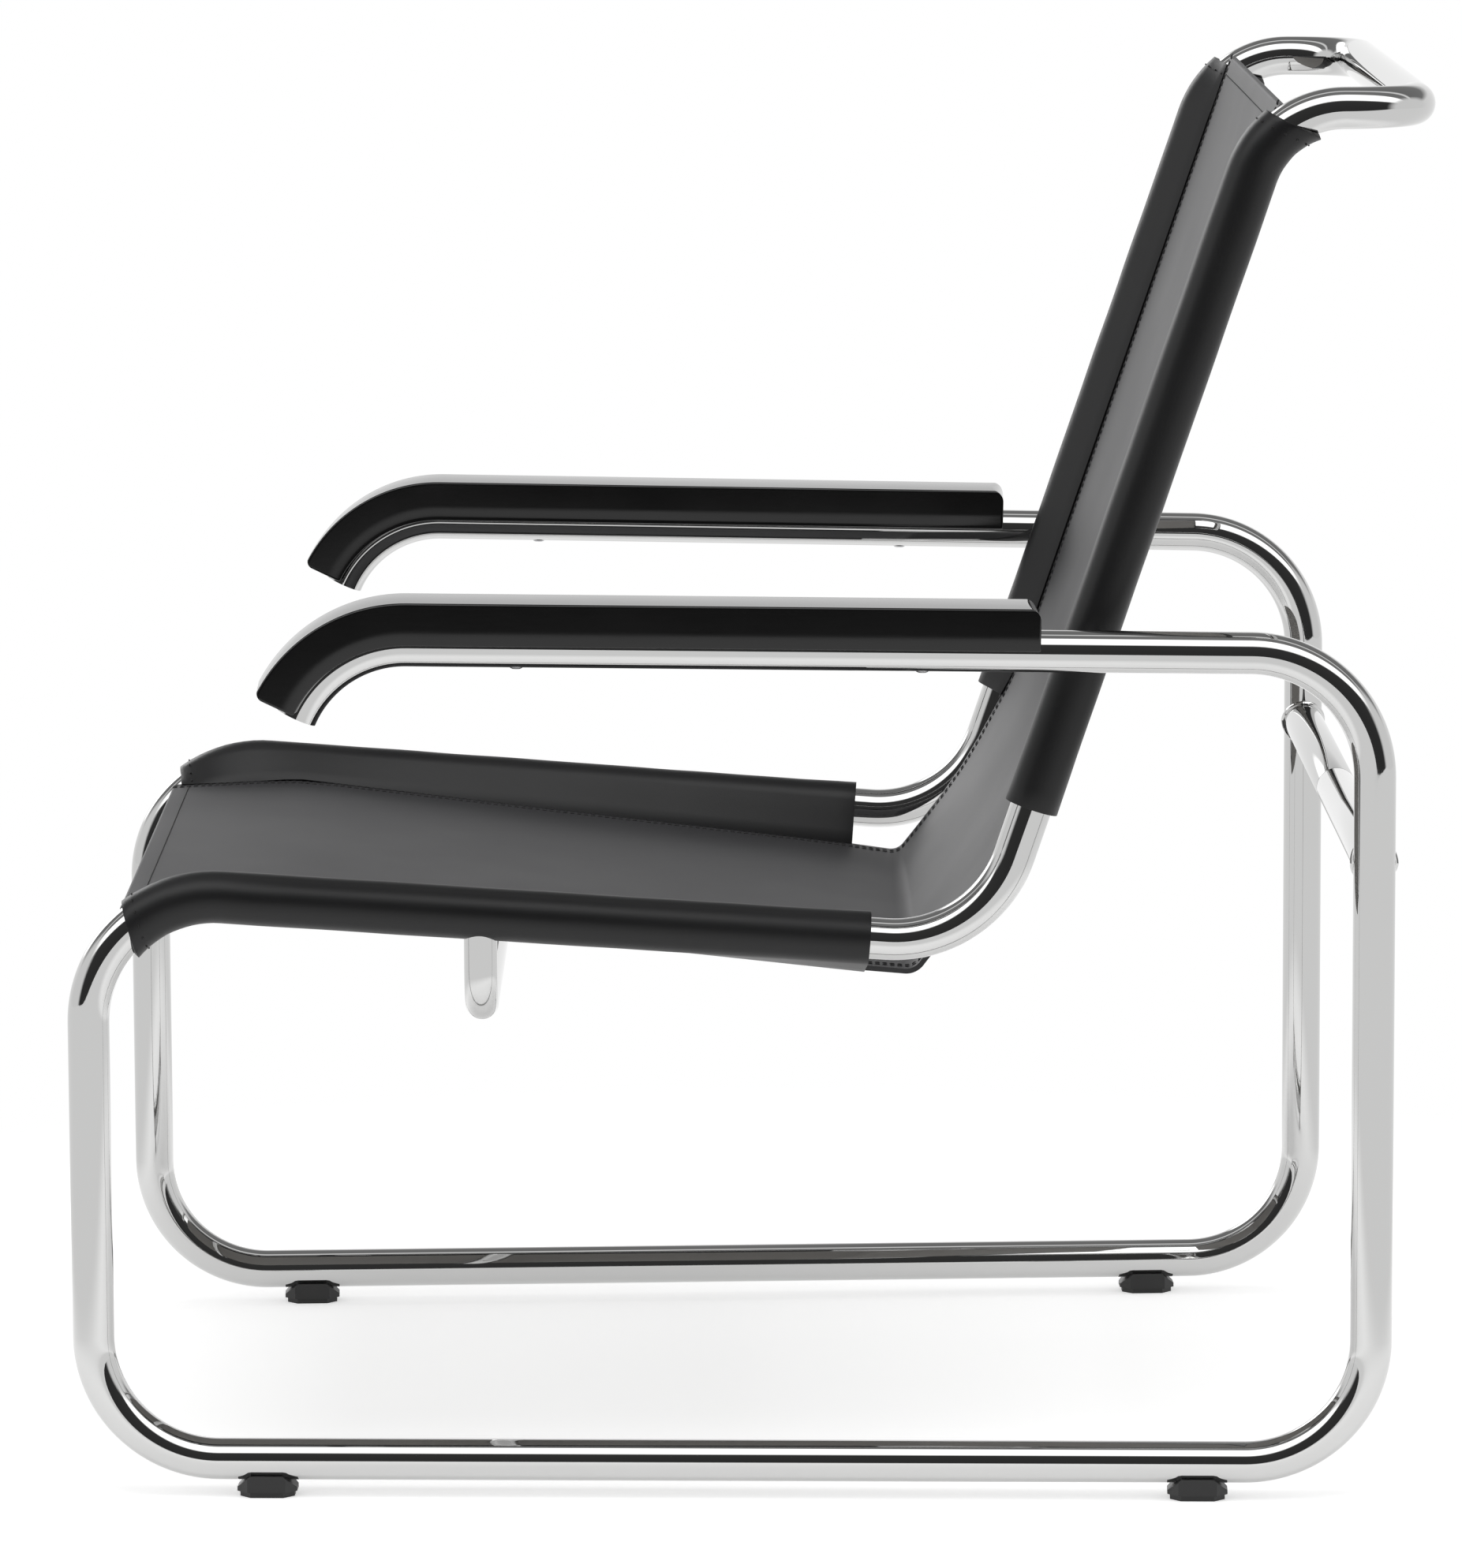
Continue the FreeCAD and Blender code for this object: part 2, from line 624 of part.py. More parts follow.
def glide_sole(label, side, y):
    """Lower half of a glide, the part that meets the floor, with a recess for the screw's head."""
    name = label + "_glide_sole"
    body = doc.addObject("PartDesign::Body", name)
    half_length = "Sizes.glide_length / 2 - Sizes.sole_inset"
    half_width = "Sizes.glide_width / 2 - Sizes.sole_inset"
    corner = "Sizes.glide_corner"
    plan = outlines(body, "XY_Plane", name + "_plan", [[
        (half_width, "-(%s - %s)" % (half_length, corner)), (half_width, "%s - %s" % (half_length, corner)),
        ("%s - %s" % (half_width, corner), half_length), ("-(%s - %s)" % (half_width, corner), half_length),
        ("-(%s)" % half_width, "%s - %s" % (half_length, corner)),
        ("-(%s)" % half_width, "-(%s - %s)" % (half_length, corner)),
        ("-(%s - %s)" % (half_width, corner), "-(%s)" % half_length),
        ("%s - %s" % (half_width, corner), "-(%s)" % half_length)]])
    pad(body, name + "_plate", plan, "Sizes.sole_height", False)
    hole = ring_sketch(body, "XY_Plane", name + "_hole", "0",
                       "Sizes.glide_screw_diameter / 2 + Sizes.spigot_clearance")
    pocket_both_ways(body, name + "_hole_cut", hole)
    recess = body.newObject("PartDesign::Pocket", name + "_recess_cut")
    recess.Profile = ring_sketch(body, "XY_Plane", name + "_recess", "0",
                                 "Sizes.glide_screw_head / 2 + Sizes.spigot_clearance")
    recess.Reversed = True
    recess.setExpression("Length", "Sizes.glide_screw_head_height + 2 * Sizes.spigot_clearance")
    body.Tip = recess
    body.Placement = glide_frame(side, y)
    node(name, body)


def glide_screws():
    """Countersunk in each sole, up into the saddle."""
    pieces = []
    for label, side, y in glide_places():
        seat = runner_point(side, y)
        head_top = size("glide_screw_head_height") + size("spigot_clearance")
        point = Vector(seat.x, seat.y, head_top)
        pieces.append(rod("glide_screw_head_" + label, point, -UP, "Sizes.glide_screw_head / 2",
                          "Sizes.glide_screw_head_height"))
        pieces.append(rod("glide_screw_shank_" + label, point, UP, "Sizes.glide_screw_diameter / 2",
                          "Sizes.glide_height - Sizes.glide_screw_head_height - 3 * Sizes.spigot_clearance"))
    node("glide_screws", joined("glide_screws", pieces))


# Arm pads, their screws and the plugs in the arm ends


def arm_route(side):
    """Centreline of the arm tube, from above the rear upright to its open end."""
    return rounded_route([arm_rear(side), arm_front(side), arm_tip(side)], [size("arm_bend")])


def pad_profile(side):
    """Side outline of an arm pad in the arm's own frame: a straight run and a bend to the tip."""
    rear = size("pad_length")
    low = size("arm_bend") + size("pad_skirt")
    high = size("arm_bend") + size("pad_rise")
    rise = arm_front(side).z - arm_rear(side).z
    turn = math.radians(size("arm_tip_angle")) + math.asin(rise / (arm_front(side) - arm_rear(side)).Length)

    def around(radius, angle):
        return Vector(0, -radius * math.sin(angle), radius * math.cos(angle))

    rounding = size("pad_rear_round")
    corner_middle = Vector(0, rear - rounding + rounding * math.sin(math.pi / 4),
                           high - rounding + rounding * math.cos(math.pi / 4))
    edges = [
        Part.LineSegment(around(low, 0), Vector(0, rear, low)),
        Part.LineSegment(Vector(0, rear, low), Vector(0, rear, high - rounding)),
        Part.Arc(Vector(0, rear, high - rounding), corner_middle, Vector(0, rear - rounding, high)),
        Part.LineSegment(Vector(0, rear - rounding, high), around(high, 0)),
        Part.Arc(around(high, 0), around(high, turn / 2), around(high, turn)),
        Part.LineSegment(around(high, turn), around(low, turn)),
        Part.Arc(around(low, turn), around(low, turn / 2), around(low, 0))]
    return Part.Wire([edge.toShape() for edge in edges])


def arm_pad(label, side):
    """Wooden pad that sits on the arm tube and follows its bend, hollowed to the tube."""
    name = label + "_arm_pad"
    outline = doc.addObject("Part::Feature", name + "_outline")
    outline.Shape = pad_profile(side)
    block = doc.addObject("Part::Extrusion", name + "_block")
    block.Base = outline
    block.Dir = Vector(1, 0, 0)
    block.DirMode = "Custom"
    block.setExpression("LengthFwd", "Sizes.pad_width")
    block.Symmetric = True
    block.Solid = True
    block.Placement = arm_frame(side)
    doc.recompute()
    rounded = doc.addObject("Part::Fillet", name + "_rounded")
    rounded.Base = block
    rounded.Edges = [(index, size("pad_edge"), size("pad_edge")) for index in upper_edges(block.Shape, side)]
    tube = swept_rod(name + "_seat", arm_route(side), "Sizes.tube_diameter / 2")
    holes = []
    for end in ("front", "rear"):
        seat, heading = pad_screw_place(side, size("pad_screw_" + end))
        holes.append(rod(name + "_hole_" + end, seat, heading,
                         "Sizes.pad_screw_diameter / 2 + Sizes.spigot_clearance",
                         "Sizes.tube_diameter + Sizes.pad_screw_grip + Sizes.cut_overrun"))
    node(name, cut(name, rounded, [tube] + holes))


def upper_edges(block, side):
    """Numbers of the long upper edges of a pad's block, on both sides."""
    frame = arm_frame(side)
    high = size("arm_bend") + size("pad_rise")
    chosen = []
    for index, edge in enumerate(block.Edges, start=1):
        middle = edge.valueAt((edge.FirstParameter + edge.LastParameter) / 2)
        place = frame.inverse().multVec(middle)
        ends = [frame.inverse().multVec(vertex.Point) for vertex in edge.Vertexes]
        along = abs(ends[0].x - ends[1].x) < TOUCHING
        straight_top = place.y > 0 and place.z > high - size("pad_rear_round")
        bend_top = place.y < 0 and math.hypot(place.y, place.z) > high - TOUCHING
        if along and (straight_top or bend_top):
            chosen.append(index)
    return chosen


def arm_pad_screws():
    """Screws from under the arm tubes up into the pads."""
    pieces = []
    for label, side in SIDES:
        for end in ("front", "rear"):
            seat, heading = pad_screw_place(side, size("pad_screw_" + end))
            name = "pad_screw_%s_%s" % (label, end)
            pieces.append(rod(name + "_head", seat, -heading, "Sizes.pad_screw_head / 2",
                              "Sizes.pad_screw_head_height"))
            pieces.append(rod(name + "_shank", seat, heading, "Sizes.pad_screw_diameter / 2",
                              "Sizes.tube_diameter + Sizes.pad_screw_grip"))
    node("arm_pad_screws", joined("arm_pad_screws", pieces))


def arm_end_plug(label, side):
    """Plug in the open end of an arm tube."""
    name = label + "_arm_end_plug"
    tip = arm_tip(side)
    outward = arm_outward(side)
    flange = rod(name + "_flange", tip, outward, "Sizes.tube_diameter / 2", "Sizes.plug_flange")
    core = rod(name + "_core", tip, -outward, "Sizes.tube_diameter / 2 - Sizes.tube_wall - Sizes.plug_play",
               "Sizes.plug_depth")
    node(name, joined(name, [flange, core]))


# Leather sling: one panel for seat and back, and a sleeve round each rail

# Sections of a sleeve's web round its bend, and how far its blank runs past its cut.
BEND_SECTIONS = 6
BLANK_OVERRUN = math.radians(14)


def panel_corners():
    """Corners of the panel's upper face in the middle plane, from the front edge to the top edge."""
    corners = []
    for setback, drop in ((size("panel_front"), "panel_front_drop"), (size("crest_setback"), "crest_drop"),
                          (size("seat_depth") - size("fold_ahead"), "fold_drop")):
        rail = rail_point(RIGHT, setback)
        corners.append(Vector(0, rail.y, rail.z - size(drop)))
    low, high = seat_rear(RIGHT).z, back_top(RIGHT).z
    for height, behind in ((low + size("lumbar_rise"), -size("lumbar_ahead")),
                           (low + size("shoulder_rise"), size("shoulder_behind")),
                           (high + size("panel_top_rise"), size("panel_top_behind"))):
        corners.append(Vector(0, back_point(RIGHT, height).y + behind, height))
    return corners


PANEL_ROUNDS = ("crest_round", "fold_round", "back_round", "back_round")
# Whether each turn of the panel is rounded about a centre below or behind the leather.
PANEL_CONVEX = (True, False, True, True)


def offset_corners(corners, depth):
    """The same corners moved by a depth to the right of the way from front to top."""
    normals = []
    for start, end in zip(corners, corners[1:]):
        ahead = unit(end - start)
        normals.append(Vector(0, ahead.z, -ahead.y))
    moved = [corners[0] + normals[0] * depth]
    for corner, first, second in zip(corners[1:], normals, normals[1:]):
        mitre = unit(first + second)
        moved.append(corner + mitre * (depth / mitre.dot(first)))
    moved.append(corners[-1] + normals[-1] * depth)
    return moved


def panel_line(depth):
    """Route of the panel at a depth below its upper face."""
    rounds = []
    for alias, convex in zip(PANEL_ROUNDS, PANEL_CONVEX):
        rounds.append(size(alias) - depth if convex else size(alias) + depth)
    return rounded_route(offset_corners(panel_corners(), depth), rounds)


def strip(name, first_depth, last_depth, half_width):
    """Band between two depths of the panel, across the chair."""
    upper = panel_line(first_depth)
    lower = panel_line(last_depth)
    upper_ends = (upper.OrderedVertexes[0].Point, upper.OrderedVertexes[-1].Point)
    lower_ends = (lower.OrderedVertexes[0].Point, lower.OrderedVertexes[-1].Point)
    ends = [Part.LineSegment(start, end).toShape() for start, end in zip(upper_ends, lower_ends)]
    outline = doc.addObject("Part::Feature", name + "_outline")
    outline.Shape = Part.Wire(Part.__sortEdges__(upper.Edges + lower.Edges + ends))
    band = doc.addObject("Part::Extrusion", name)
    band.Base = outline
    band.Dir = Vector(1, 0, 0)
    band.DirMode = "Custom"
    band.setExpression("LengthFwd", half_width + " * 2")
    band.Symmetric = True
    band.Solid = True
    return band


def rail_half_width(y):
    """Half of the distance between the rails' axes at a Y, on the seat or on the back."""
    corners = [seat_front(RIGHT), seat_rear(RIGHT), back_top(RIGHT)]
    start, end = corners[:2] if y < corners[1].y else corners[1:]
    return start.x + (end.x - start.x) * (y - start.y) / (end.y - start.y)


def plan_prism(name, inset):
    """Upright prism over the plan between the rails, its sides inset from the rails' axes."""
    margin = size("tube_diameter")
    stations = [FRONT_Y - margin, seat_rear(RIGHT).y, HEAD_Y + margin]
    right = [Vector(rail_half_width(y) - inset, y, 0) for y in stations]
    left = [Vector(-point.x, point.y, 0) for point in right]
    outline = doc.addObject("Part::Feature", name + "_outline")
    outline.Shape = Part.makePolygon(right + left[::-1] + right[:1])
    prism = doc.addObject("Part::Extrusion", name)
    prism.Base = outline
    prism.Dir = UP
    prism.DirMode = "Custom"
    prism.setExpression("LengthFwd", "Sizes.overall_height")
    prism.Solid = True
    return prism


def hem(name, corner, ahead, behind):
    """Folded strip on the panel's hidden face along one end, running ahead from that end."""
    start = corner + behind * size("leather")
    box = doc.addObject("Part::Box", name)
    box.setExpression("Length", "Sizes.front_width")
    box.setExpression("Width", "Sizes.hem_width")
    box.setExpression("Height", "Sizes.hem_ply")
    sideways = Vector(1, 0, 0)
    turn = Rotation(sideways, ahead, sideways.cross(ahead), "XYZ")
    if turn.multVec(UP).dot(behind) < 0:
        start = start + behind * size("hem_ply")
    box.Placement = Placement(start - sideways * (size("front_width") / 2), turn)
    return box


def leather_panel():
    """Seat and back in one piece, with hems at its front and top edges and a notch at the fold."""
    name = "leather_panel"
    band = strip(name + "_band", 0, size("leather"), "Sizes.front_width / 2")
    corners = panel_corners()
    lower = offset_corners(corners, 1)
    front = hem(name + "_front_hem", corners[0], unit(corners[1] - corners[0]), lower[0] - corners[0])
    top = hem(name + "_top_hem", corners[-1], unit(corners[-2] - corners[-1]), lower[-1] - corners[-1])
    edge = plan_prism(name + "_plan", size("seam_inset") - size("seam_lap"))
    whole = doc.addObject("Part::MultiCommon", name + "_trimmed")
    whole.Shapes = [joined(name + "_plies", [band, front, top]), edge]
    notches = []
    for label, side in SIDES:
        notches.append(fold_notch(name + "_notch_" + label, side))
    node(name, cut(name, whole, notches))


def fold_notch(name, side):
    """Round bar that cuts the panel's edge back where neither sleeve covers the rail."""
    start = seat_sleeve_end(side)
    foot = back_sleeve_end(side)
    chord = Vector(0, foot.y - start.y, foot.z - start.z)
    middle_y = (start.y + foot.y) / 2
    radius = size("corner_notch") + chord.Length / 2
    edge_x = rail_half_width(middle_y) - size("seam_inset")
    centre = Vector(side * (edge_x + math.sqrt(radius ** 2 - (chord.Length / 2) ** 2)), middle_y,
                    (start.z + foot.z) / 2)
    heading = unit(Vector(0, chord.z, -chord.y))
    bar = doc.addObject("Part::Cylinder", name)
    bar.Radius = radius
    bar.Height = radius * 2
    bar.Placement = Placement(centre - heading * radius, Rotation(UP, heading))
    return bar


def seat_sleeve_end(side):
    """Point on the seat rail's axis at the rear end of its sleeve."""
    return rail_point(side, size("seat_depth") - size("seat_sleeve_rear"))


def back_sleeve_end(side):
    """Point on the back rail's axis at the lower end of its sleeve."""
    return back_point(side, seat_rear(side).z + size("back_sleeve_foot"))


def back_point(side, height):
    """Point on the back rail's axis at a height."""
    start, end = seat_rear(side), back_top(side)
    return between(start, end, (height - start.z) / (end.z - start.z))


def panel_depth(centre, upward):
    """Distance from a rail's axis to the panel's middle, along a direction of the side view."""
    corners = offset_corners(panel_corners(), size("leather") / 2)
    corners[0] = between(corners[1], corners[0], 2)
    corners[-1] = between(corners[-2], corners[-1], 2)
    reaches = []
    for start, end in zip(corners, corners[1:]):
        run = end - start
        cross = upward.y * run.z - upward.z * run.y
        gap = Vector(0, start.y - centre.y, start.z - centre.z)
        share = (gap.y * upward.z - gap.z * upward.y) / cross
        if -TOUCHING <= share <= 1 + TOUCHING:
            reaches.append((gap.y * run.z - gap.z * run.y) / cross)
    return min(reaches, key=abs)


def seam_section(name, centre, ahead, side):
    """Four-cornered section of a sleeve between the rail's axis and its seam with the panel."""
    inboard = unit(ahead.cross(UP))
    if inboard.x * side > 0:
        inboard = -inboard
    upward = unit(inboard.cross(ahead))
    if upward.z < 0:
        upward = -upward
    depth = panel_depth(centre, unit(Vector(0, upward.y, upward.z)))
    seam = centre + inboard * size("seam_inset") + upward * depth
    toward = unit(seam - centre)
    beside = unit(toward.cross(ahead))
    if beside.z < 0:
        beside = -beside
    wide = size("seam_root")
    narrow = size("seam_half")
    corners = [centre + beside * wide, seam + beside * narrow, seam - beside * narrow, centre - beside * wide]
    section = doc.addObject("Part::Feature", name)
    section.Shape = Part.makePolygon(corners + corners[:1])
    return section


def seam_web(name, stations, side):
    """Leather between a sleeve's round and its seam, through stations of the rail's axis and heading."""
    sections = []
    for number, (centre, ahead) in enumerate(stations):
        sections.append(seam_section("%s_section_%d" % (name, number), centre, ahead, side))
    loft = doc.addObject("Part::Loft", name)
    loft.Sections = sections
    loft.Solid = True
    loft.Ruled = True
    return loft


def bend_stations(corners, radius, angle):
    """Points and headings from the first corner to an angle round the bend at the second."""
    first, corner, last = corners
    stations = [(first, unit(corner - first))]
    for number in range(BEND_SECTIONS):
        turned = angle * number / (BEND_SECTIONS - 1)
        stations.append(bend_point(corner, first, last, radius, turned))
    return stations


def end_cutter(name, point, outward):
    """Large block whose face lies on a sleeve's slanting end."""
    block = doc.addObject("Part::Box", name)
    for edge in ("Length", "Width", "Height"):
        block.setExpression(edge, "Sizes.cutting_block")
    middle = size("cutting_block") / 2
    turn = Rotation(UP, outward)
    block.Placement = Placement(point - turn.multVec(Vector(middle, middle, 0)), turn)
    return block


def sleeve(name, corners, radius, turned, outward, side, others):
    """Sleeve along a rail and round a bend to its cut: a round skin and a web to the seam."""
    route = rounded_route(corners, [radius])
    skin = swept_rod(name + "_skin", route, "Sizes.tube_diameter / 2 + Sizes.sleeve_gap + Sizes.leather")
    web = seam_web(name + "_web", bend_stations(corners, radius, turned + BLANK_OVERRUN), side)
    bore = swept_rod(name + "_bore", route, "Sizes.tube_diameter / 2 + Sizes.sleeve_gap")
    band = strip(name + "_panel", 0, size("leather"), "Sizes.front_width / 2")
    edge = plan_prism(name + "_plan", size("seam_inset") - size("seam_lap"))
    held = doc.addObject("Part::MultiCommon", name + "_held")
    held.Shapes = [band, edge]
    end, _ = bend_point(corners[1], corners[0], corners[2], radius, turned)
    ender = end_cutter(name + "_end", end, outward)
    node(name, cut(name, joined(name + "_whole", [skin, web]), [bore, held, ender] + others))


def seat_sleeve(label, side):
    """Sleeve round the seat rail and the start of the front bend."""
    name = label + "_seat_sleeve"
    lean = math.radians(size("seat_sleeve_lean"))
    outward = Vector(0, -math.cos(lean), -math.sin(lean))
    leg = rod(name + "_leg_hole", brace_top(side), -UP, "Sizes.brace_diameter / 2 + Sizes.leg_hole_play",
              "Sizes.tube_diameter * 2")
    below = seat_front(side) - UP * (size("bend_radius") + size("tube_diameter"))
    sleeve(name, [seat_sleeve_end(side), seat_front(side), below], size("bend_radius"),
           math.radians(size("seat_sleeve_turn")), outward, side, [leg])


def back_sleeve(label, side):
    """Sleeve round the back rail and the start of the bend at the head."""
    name = label + "_back_sleeve"
    lean = math.radians(size("back_sleeve_lean"))
    outward = Vector(0, math.sin(lean), math.cos(lean))
    sleeve(name, [back_sleeve_end(side), back_top(side), bar_corner(side)], head_bend(),
           math.radians(size("back_sleeve_turn")), outward, side, [])


def check_and_write():
    """Checks every object and solid, then writes each node to its own file."""
    doc.recompute()
    for item in doc.Objects:
        if "Invalid" in item.State or "Error" in item.State:
            raise RuntimeError("%s could not be made: %s" % (item.Label, item.State))
    os.makedirs("parts", exist_ok=True)
    for name, piece in nodes:
        shape = piece.Shape
        if shape.isNull() or not shape.isValid() or not shape.Solids:
            raise RuntimeError("%s is not a valid solid" % name)
        box = shape.BoundBox
        limits = (box.XMin, box.XMax, box.YMin, box.YMax, box.ZMin, box.ZMax)
        print("%-26s %d solids %10.0f mm3" % (name, len(shape.Solids), shape.Volume),
              " x %7.1f %7.1f  y %7.1f %7.1f  z %7.1f %7.1f" % limits)
        shape.exportStep("parts/%s.step" % name)


for LABEL, SIDE in SIDES:
    side_frame(LABEL + "_side_frame", SIDE)
seat_back_loop()
for LABEL, SIDE in SIDES:
    rail_joint(LABEL, SIDE)
rail_joint_screws()
for LABEL, SIDE in SIDES:
    cross_tube(LABEL, SIDE)
cross_spigot()
under_seat_brace()
brace_inserts()
brace_screws()
for LABEL, SIDE, GLIDE_Y in glide_places():
    glide_saddle(LABEL, SIDE, GLIDE_Y)
    glide_sole(LABEL, SIDE, GLIDE_Y)
glide_screws()
for LABEL, SIDE in SIDES:
    arm_pad(LABEL, SIDE)
    arm_end_plug(LABEL, SIDE)
arm_pad_screws()
leather_panel()
for LABEL, SIDE in SIDES:
    seat_sleeve(LABEL, SIDE)
    back_sleeve(LABEL, SIDE)
check_and_write()
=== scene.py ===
import math

import bmesh
import bpy
from bpy.props import FloatProperty, FloatVectorProperty, IntProperty, PointerProperty
from mathutils import Matrix, Vector, noise


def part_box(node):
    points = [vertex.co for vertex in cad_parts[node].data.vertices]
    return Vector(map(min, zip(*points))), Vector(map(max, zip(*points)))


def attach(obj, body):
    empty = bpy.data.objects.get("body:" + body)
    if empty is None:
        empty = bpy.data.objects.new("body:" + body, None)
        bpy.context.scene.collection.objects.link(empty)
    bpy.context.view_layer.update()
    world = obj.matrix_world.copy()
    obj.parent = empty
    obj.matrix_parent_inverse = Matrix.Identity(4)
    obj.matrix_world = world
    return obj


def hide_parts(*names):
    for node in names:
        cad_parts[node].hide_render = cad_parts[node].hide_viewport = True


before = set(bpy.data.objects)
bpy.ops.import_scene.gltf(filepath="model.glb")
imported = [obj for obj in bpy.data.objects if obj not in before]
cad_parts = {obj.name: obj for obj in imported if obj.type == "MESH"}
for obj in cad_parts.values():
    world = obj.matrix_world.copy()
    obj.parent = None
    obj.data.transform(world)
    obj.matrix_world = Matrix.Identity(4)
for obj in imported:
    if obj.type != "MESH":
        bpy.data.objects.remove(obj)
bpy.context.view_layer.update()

bl_info = {
    "name": "Cantilever lounge chair",
    "version": (1, 0, 0),
    "blender": (4, 5, 0),
    "location": "View3D > Sidebar > Chair",
    "description": "Bent chrome tube lounge chair with a leather sling and wooden arm pads",
    "category": "Add Mesh",
}

BODY = "root"
SIDES = (("left", -1), ("right", 1))
UP = Vector((0, 0, 1))
ACROSS = Vector((1, 0, 0))

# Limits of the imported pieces, and the radius of their tubes, that sizes below are taken from.
BAR_LOW, BAR_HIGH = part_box("seat_back_loop")
SIDE_LOW, SIDE_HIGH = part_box("right_side_frame")
PACKED_RADIUS = 0.0125


def length(name, default, about):
    """Length in metres that a user may change."""
    return FloatProperty(name=name, description=about, default=default, unit="LENGTH")


def colour(name, default, about):
    """Linear colour that a user may change."""
    return FloatVectorProperty(name=name, description=about, default=default, subtype="COLOR")


class ChairSizes(bpy.types.PropertyGroup):
    """Sizes of the chair."""

    tube: length("Tube", 0.025, "Outside diameter of the frame tube")
    bend: length("Bend", 0.075, "Centreline radius of the large bends")
    front_width: length("Front width", 0.5473, "Front uprights, centre to centre")
    rear_width: length("Rear width", 0.6023, "Rear uprights, centre to centre")
    front_y: length("Front", SIDE_LOW.y + PACKED_RADIUS, "Y of the front uprights")
    rear_y: length("Rear", SIDE_HIGH.y - PACKED_RADIUS, "Y of the rear uprights")
    head_y: length("Head bar", BAR_HIGH.y - PACKED_RADIUS, "Y of the head bar")
    runner_z: length("Runner", SIDE_LOW.z + PACKED_RADIUS, "Height of the runners' axes")
    head_z: length("Head", BAR_HIGH.z - PACKED_RADIUS, "Height of the head bar's axis")
    seat_front_z: length("Seat front", 0.369, "Height of the seat rail's front corner")
    seat_rear_z: length("Seat rear", 0.3295, "Height of the corner of seat and back")
    seat_rear_y: length("Seat depth", 0.1381, "Y of the corner of seat and back")
    seat_rear_width: length("Seat rear width", 0.515, "Rails at the corner of seat and back")
    head_width: length("Head width", 0.505, "Back rails at the head")
    back_top_y: length("Back top", 0.3102, "Y of the corner of back and head")
    head_bend: length("Head bend", 0.058, "Centreline radius from back to head")
    bar_bend: length("Bar bend", 0.044, "Centreline radius from head to head bar")
    arm_rear_z: length("Arm rear", 0.5098, "Height of the arm's rear corner")
    arm_front_z: length("Arm front", 0.5206, "Height of the arm's front corner")
    arm_front_width: length("Arm width", 0.6332, "Arm tubes at the front corner")
    arm_length: length("Arm length", 0.6165, "Rear corner to front corner of the arm")
    arm_bend: length("Arm bend", 0.070, "Centreline radius at the arm tip")
    arm_drop: FloatProperty(name="Arm drop", description="Turn of the arm tip below the horizontal",
                            default=math.radians(65), subtype="ANGLE")
    cross_z: length("Cross tube", 0.385, "Height of the rear cross tube")
    brace_tube: length("Brace tube", 0.020, "Outside diameter of the brace")
    brace_bend: length("Brace bend", 0.025, "Centreline radius of the brace")
    brace_setback: length("Brace", 0.2342, "Brace behind the front uprights")
    brace_z: length("Brace height", 0.2935, "Height of the brace's lower run")
    pad_width: length("Pad width", 0.050, "Arm pad across")
    pad_rise: length("Pad rise", 0.0282, "Top of the pad above the tube's axis")
    pad_skirt: length("Pad skirt", 0.0025, "Lower edge of the pad above the tube's axis")
    pad_length: length("Pad length", 0.372, "Straight stretch of the pad")
    pad_edge: length("Pad edge", 0.0016, "Rounding of the pad's upper edges")
    pad_crown: length("Pad crown", 0.0004, "Rise of the pad's top towards its middle")
    pad_end: length("Pad end", 0.0012, "Rounding of the edges of the pad's ends")
    pad_nose: length("Pad nose", 0.006, "Upper corner of the pad's front end")
    pad_tail: length("Pad tail", 0.008, "Upper corner of the pad's rear end")
    pad_short: length("Pad short", 0.0015, "Pad's front end short of the tube's end")
    leather: length("Leather", 0.003, "Thickness of the leather")
    sleeve_play: length("Sleeve play", 0.0003, "Space between sleeve and tube")
    seam_inset: length("Seam", 0.025, "Seam inboard of the rail's axis")
    hem: length("Hem", 0.0095, "Width of the folded hems")
    seat_sag: length("Seat sag", 0.004, "Sag of the seat in its middle")
    back_sag: length("Back sag", 0.004, "Sag of the back in its middle")
    stitch: length("Stitch", 0.0038, "Length of one stitch")
    stitch_pitch: length("Stitch pitch", 0.0046, "Stitches, centre to centre")
    thread: length("Thread", 0.0008, "Diameter of the thread")
    sides: IntProperty(name="Sides", description="Facets round a tube", default=56, min=12)


class ChairColours(bpy.types.PropertyGroup):
    """Colours of the finishes."""

    chrome: colour("Chrome", (0.57, 0.57, 0.566), "Chrome plate")
    leather: colour("Leather", (0.0085, 0.0085, 0.0090), "Grain side of the leather")
    flesh: colour("Flesh side", (0.30, 0.29, 0.275), "Flesh side of the leather")
    thread: colour("Thread", (0.006, 0.006, 0.006), "Stitching")
    wood: colour("Wood", (0.006, 0.006, 0.006), "Stained and lacquered wood")
    plastic: colour("Plastic", (0.018, 0.018, 0.018), "Glides")
    steel: colour("Steel", (0.52, 0.52, 0.53), "Screws and inner pieces")
    floor: colour("Floor", (0.80, 0.80, 0.80), "Floor")


def sizes():
    return bpy.context.scene.chair_sizes


def colours():
    return bpy.context.scene.chair_colours


# Centreline of the frame


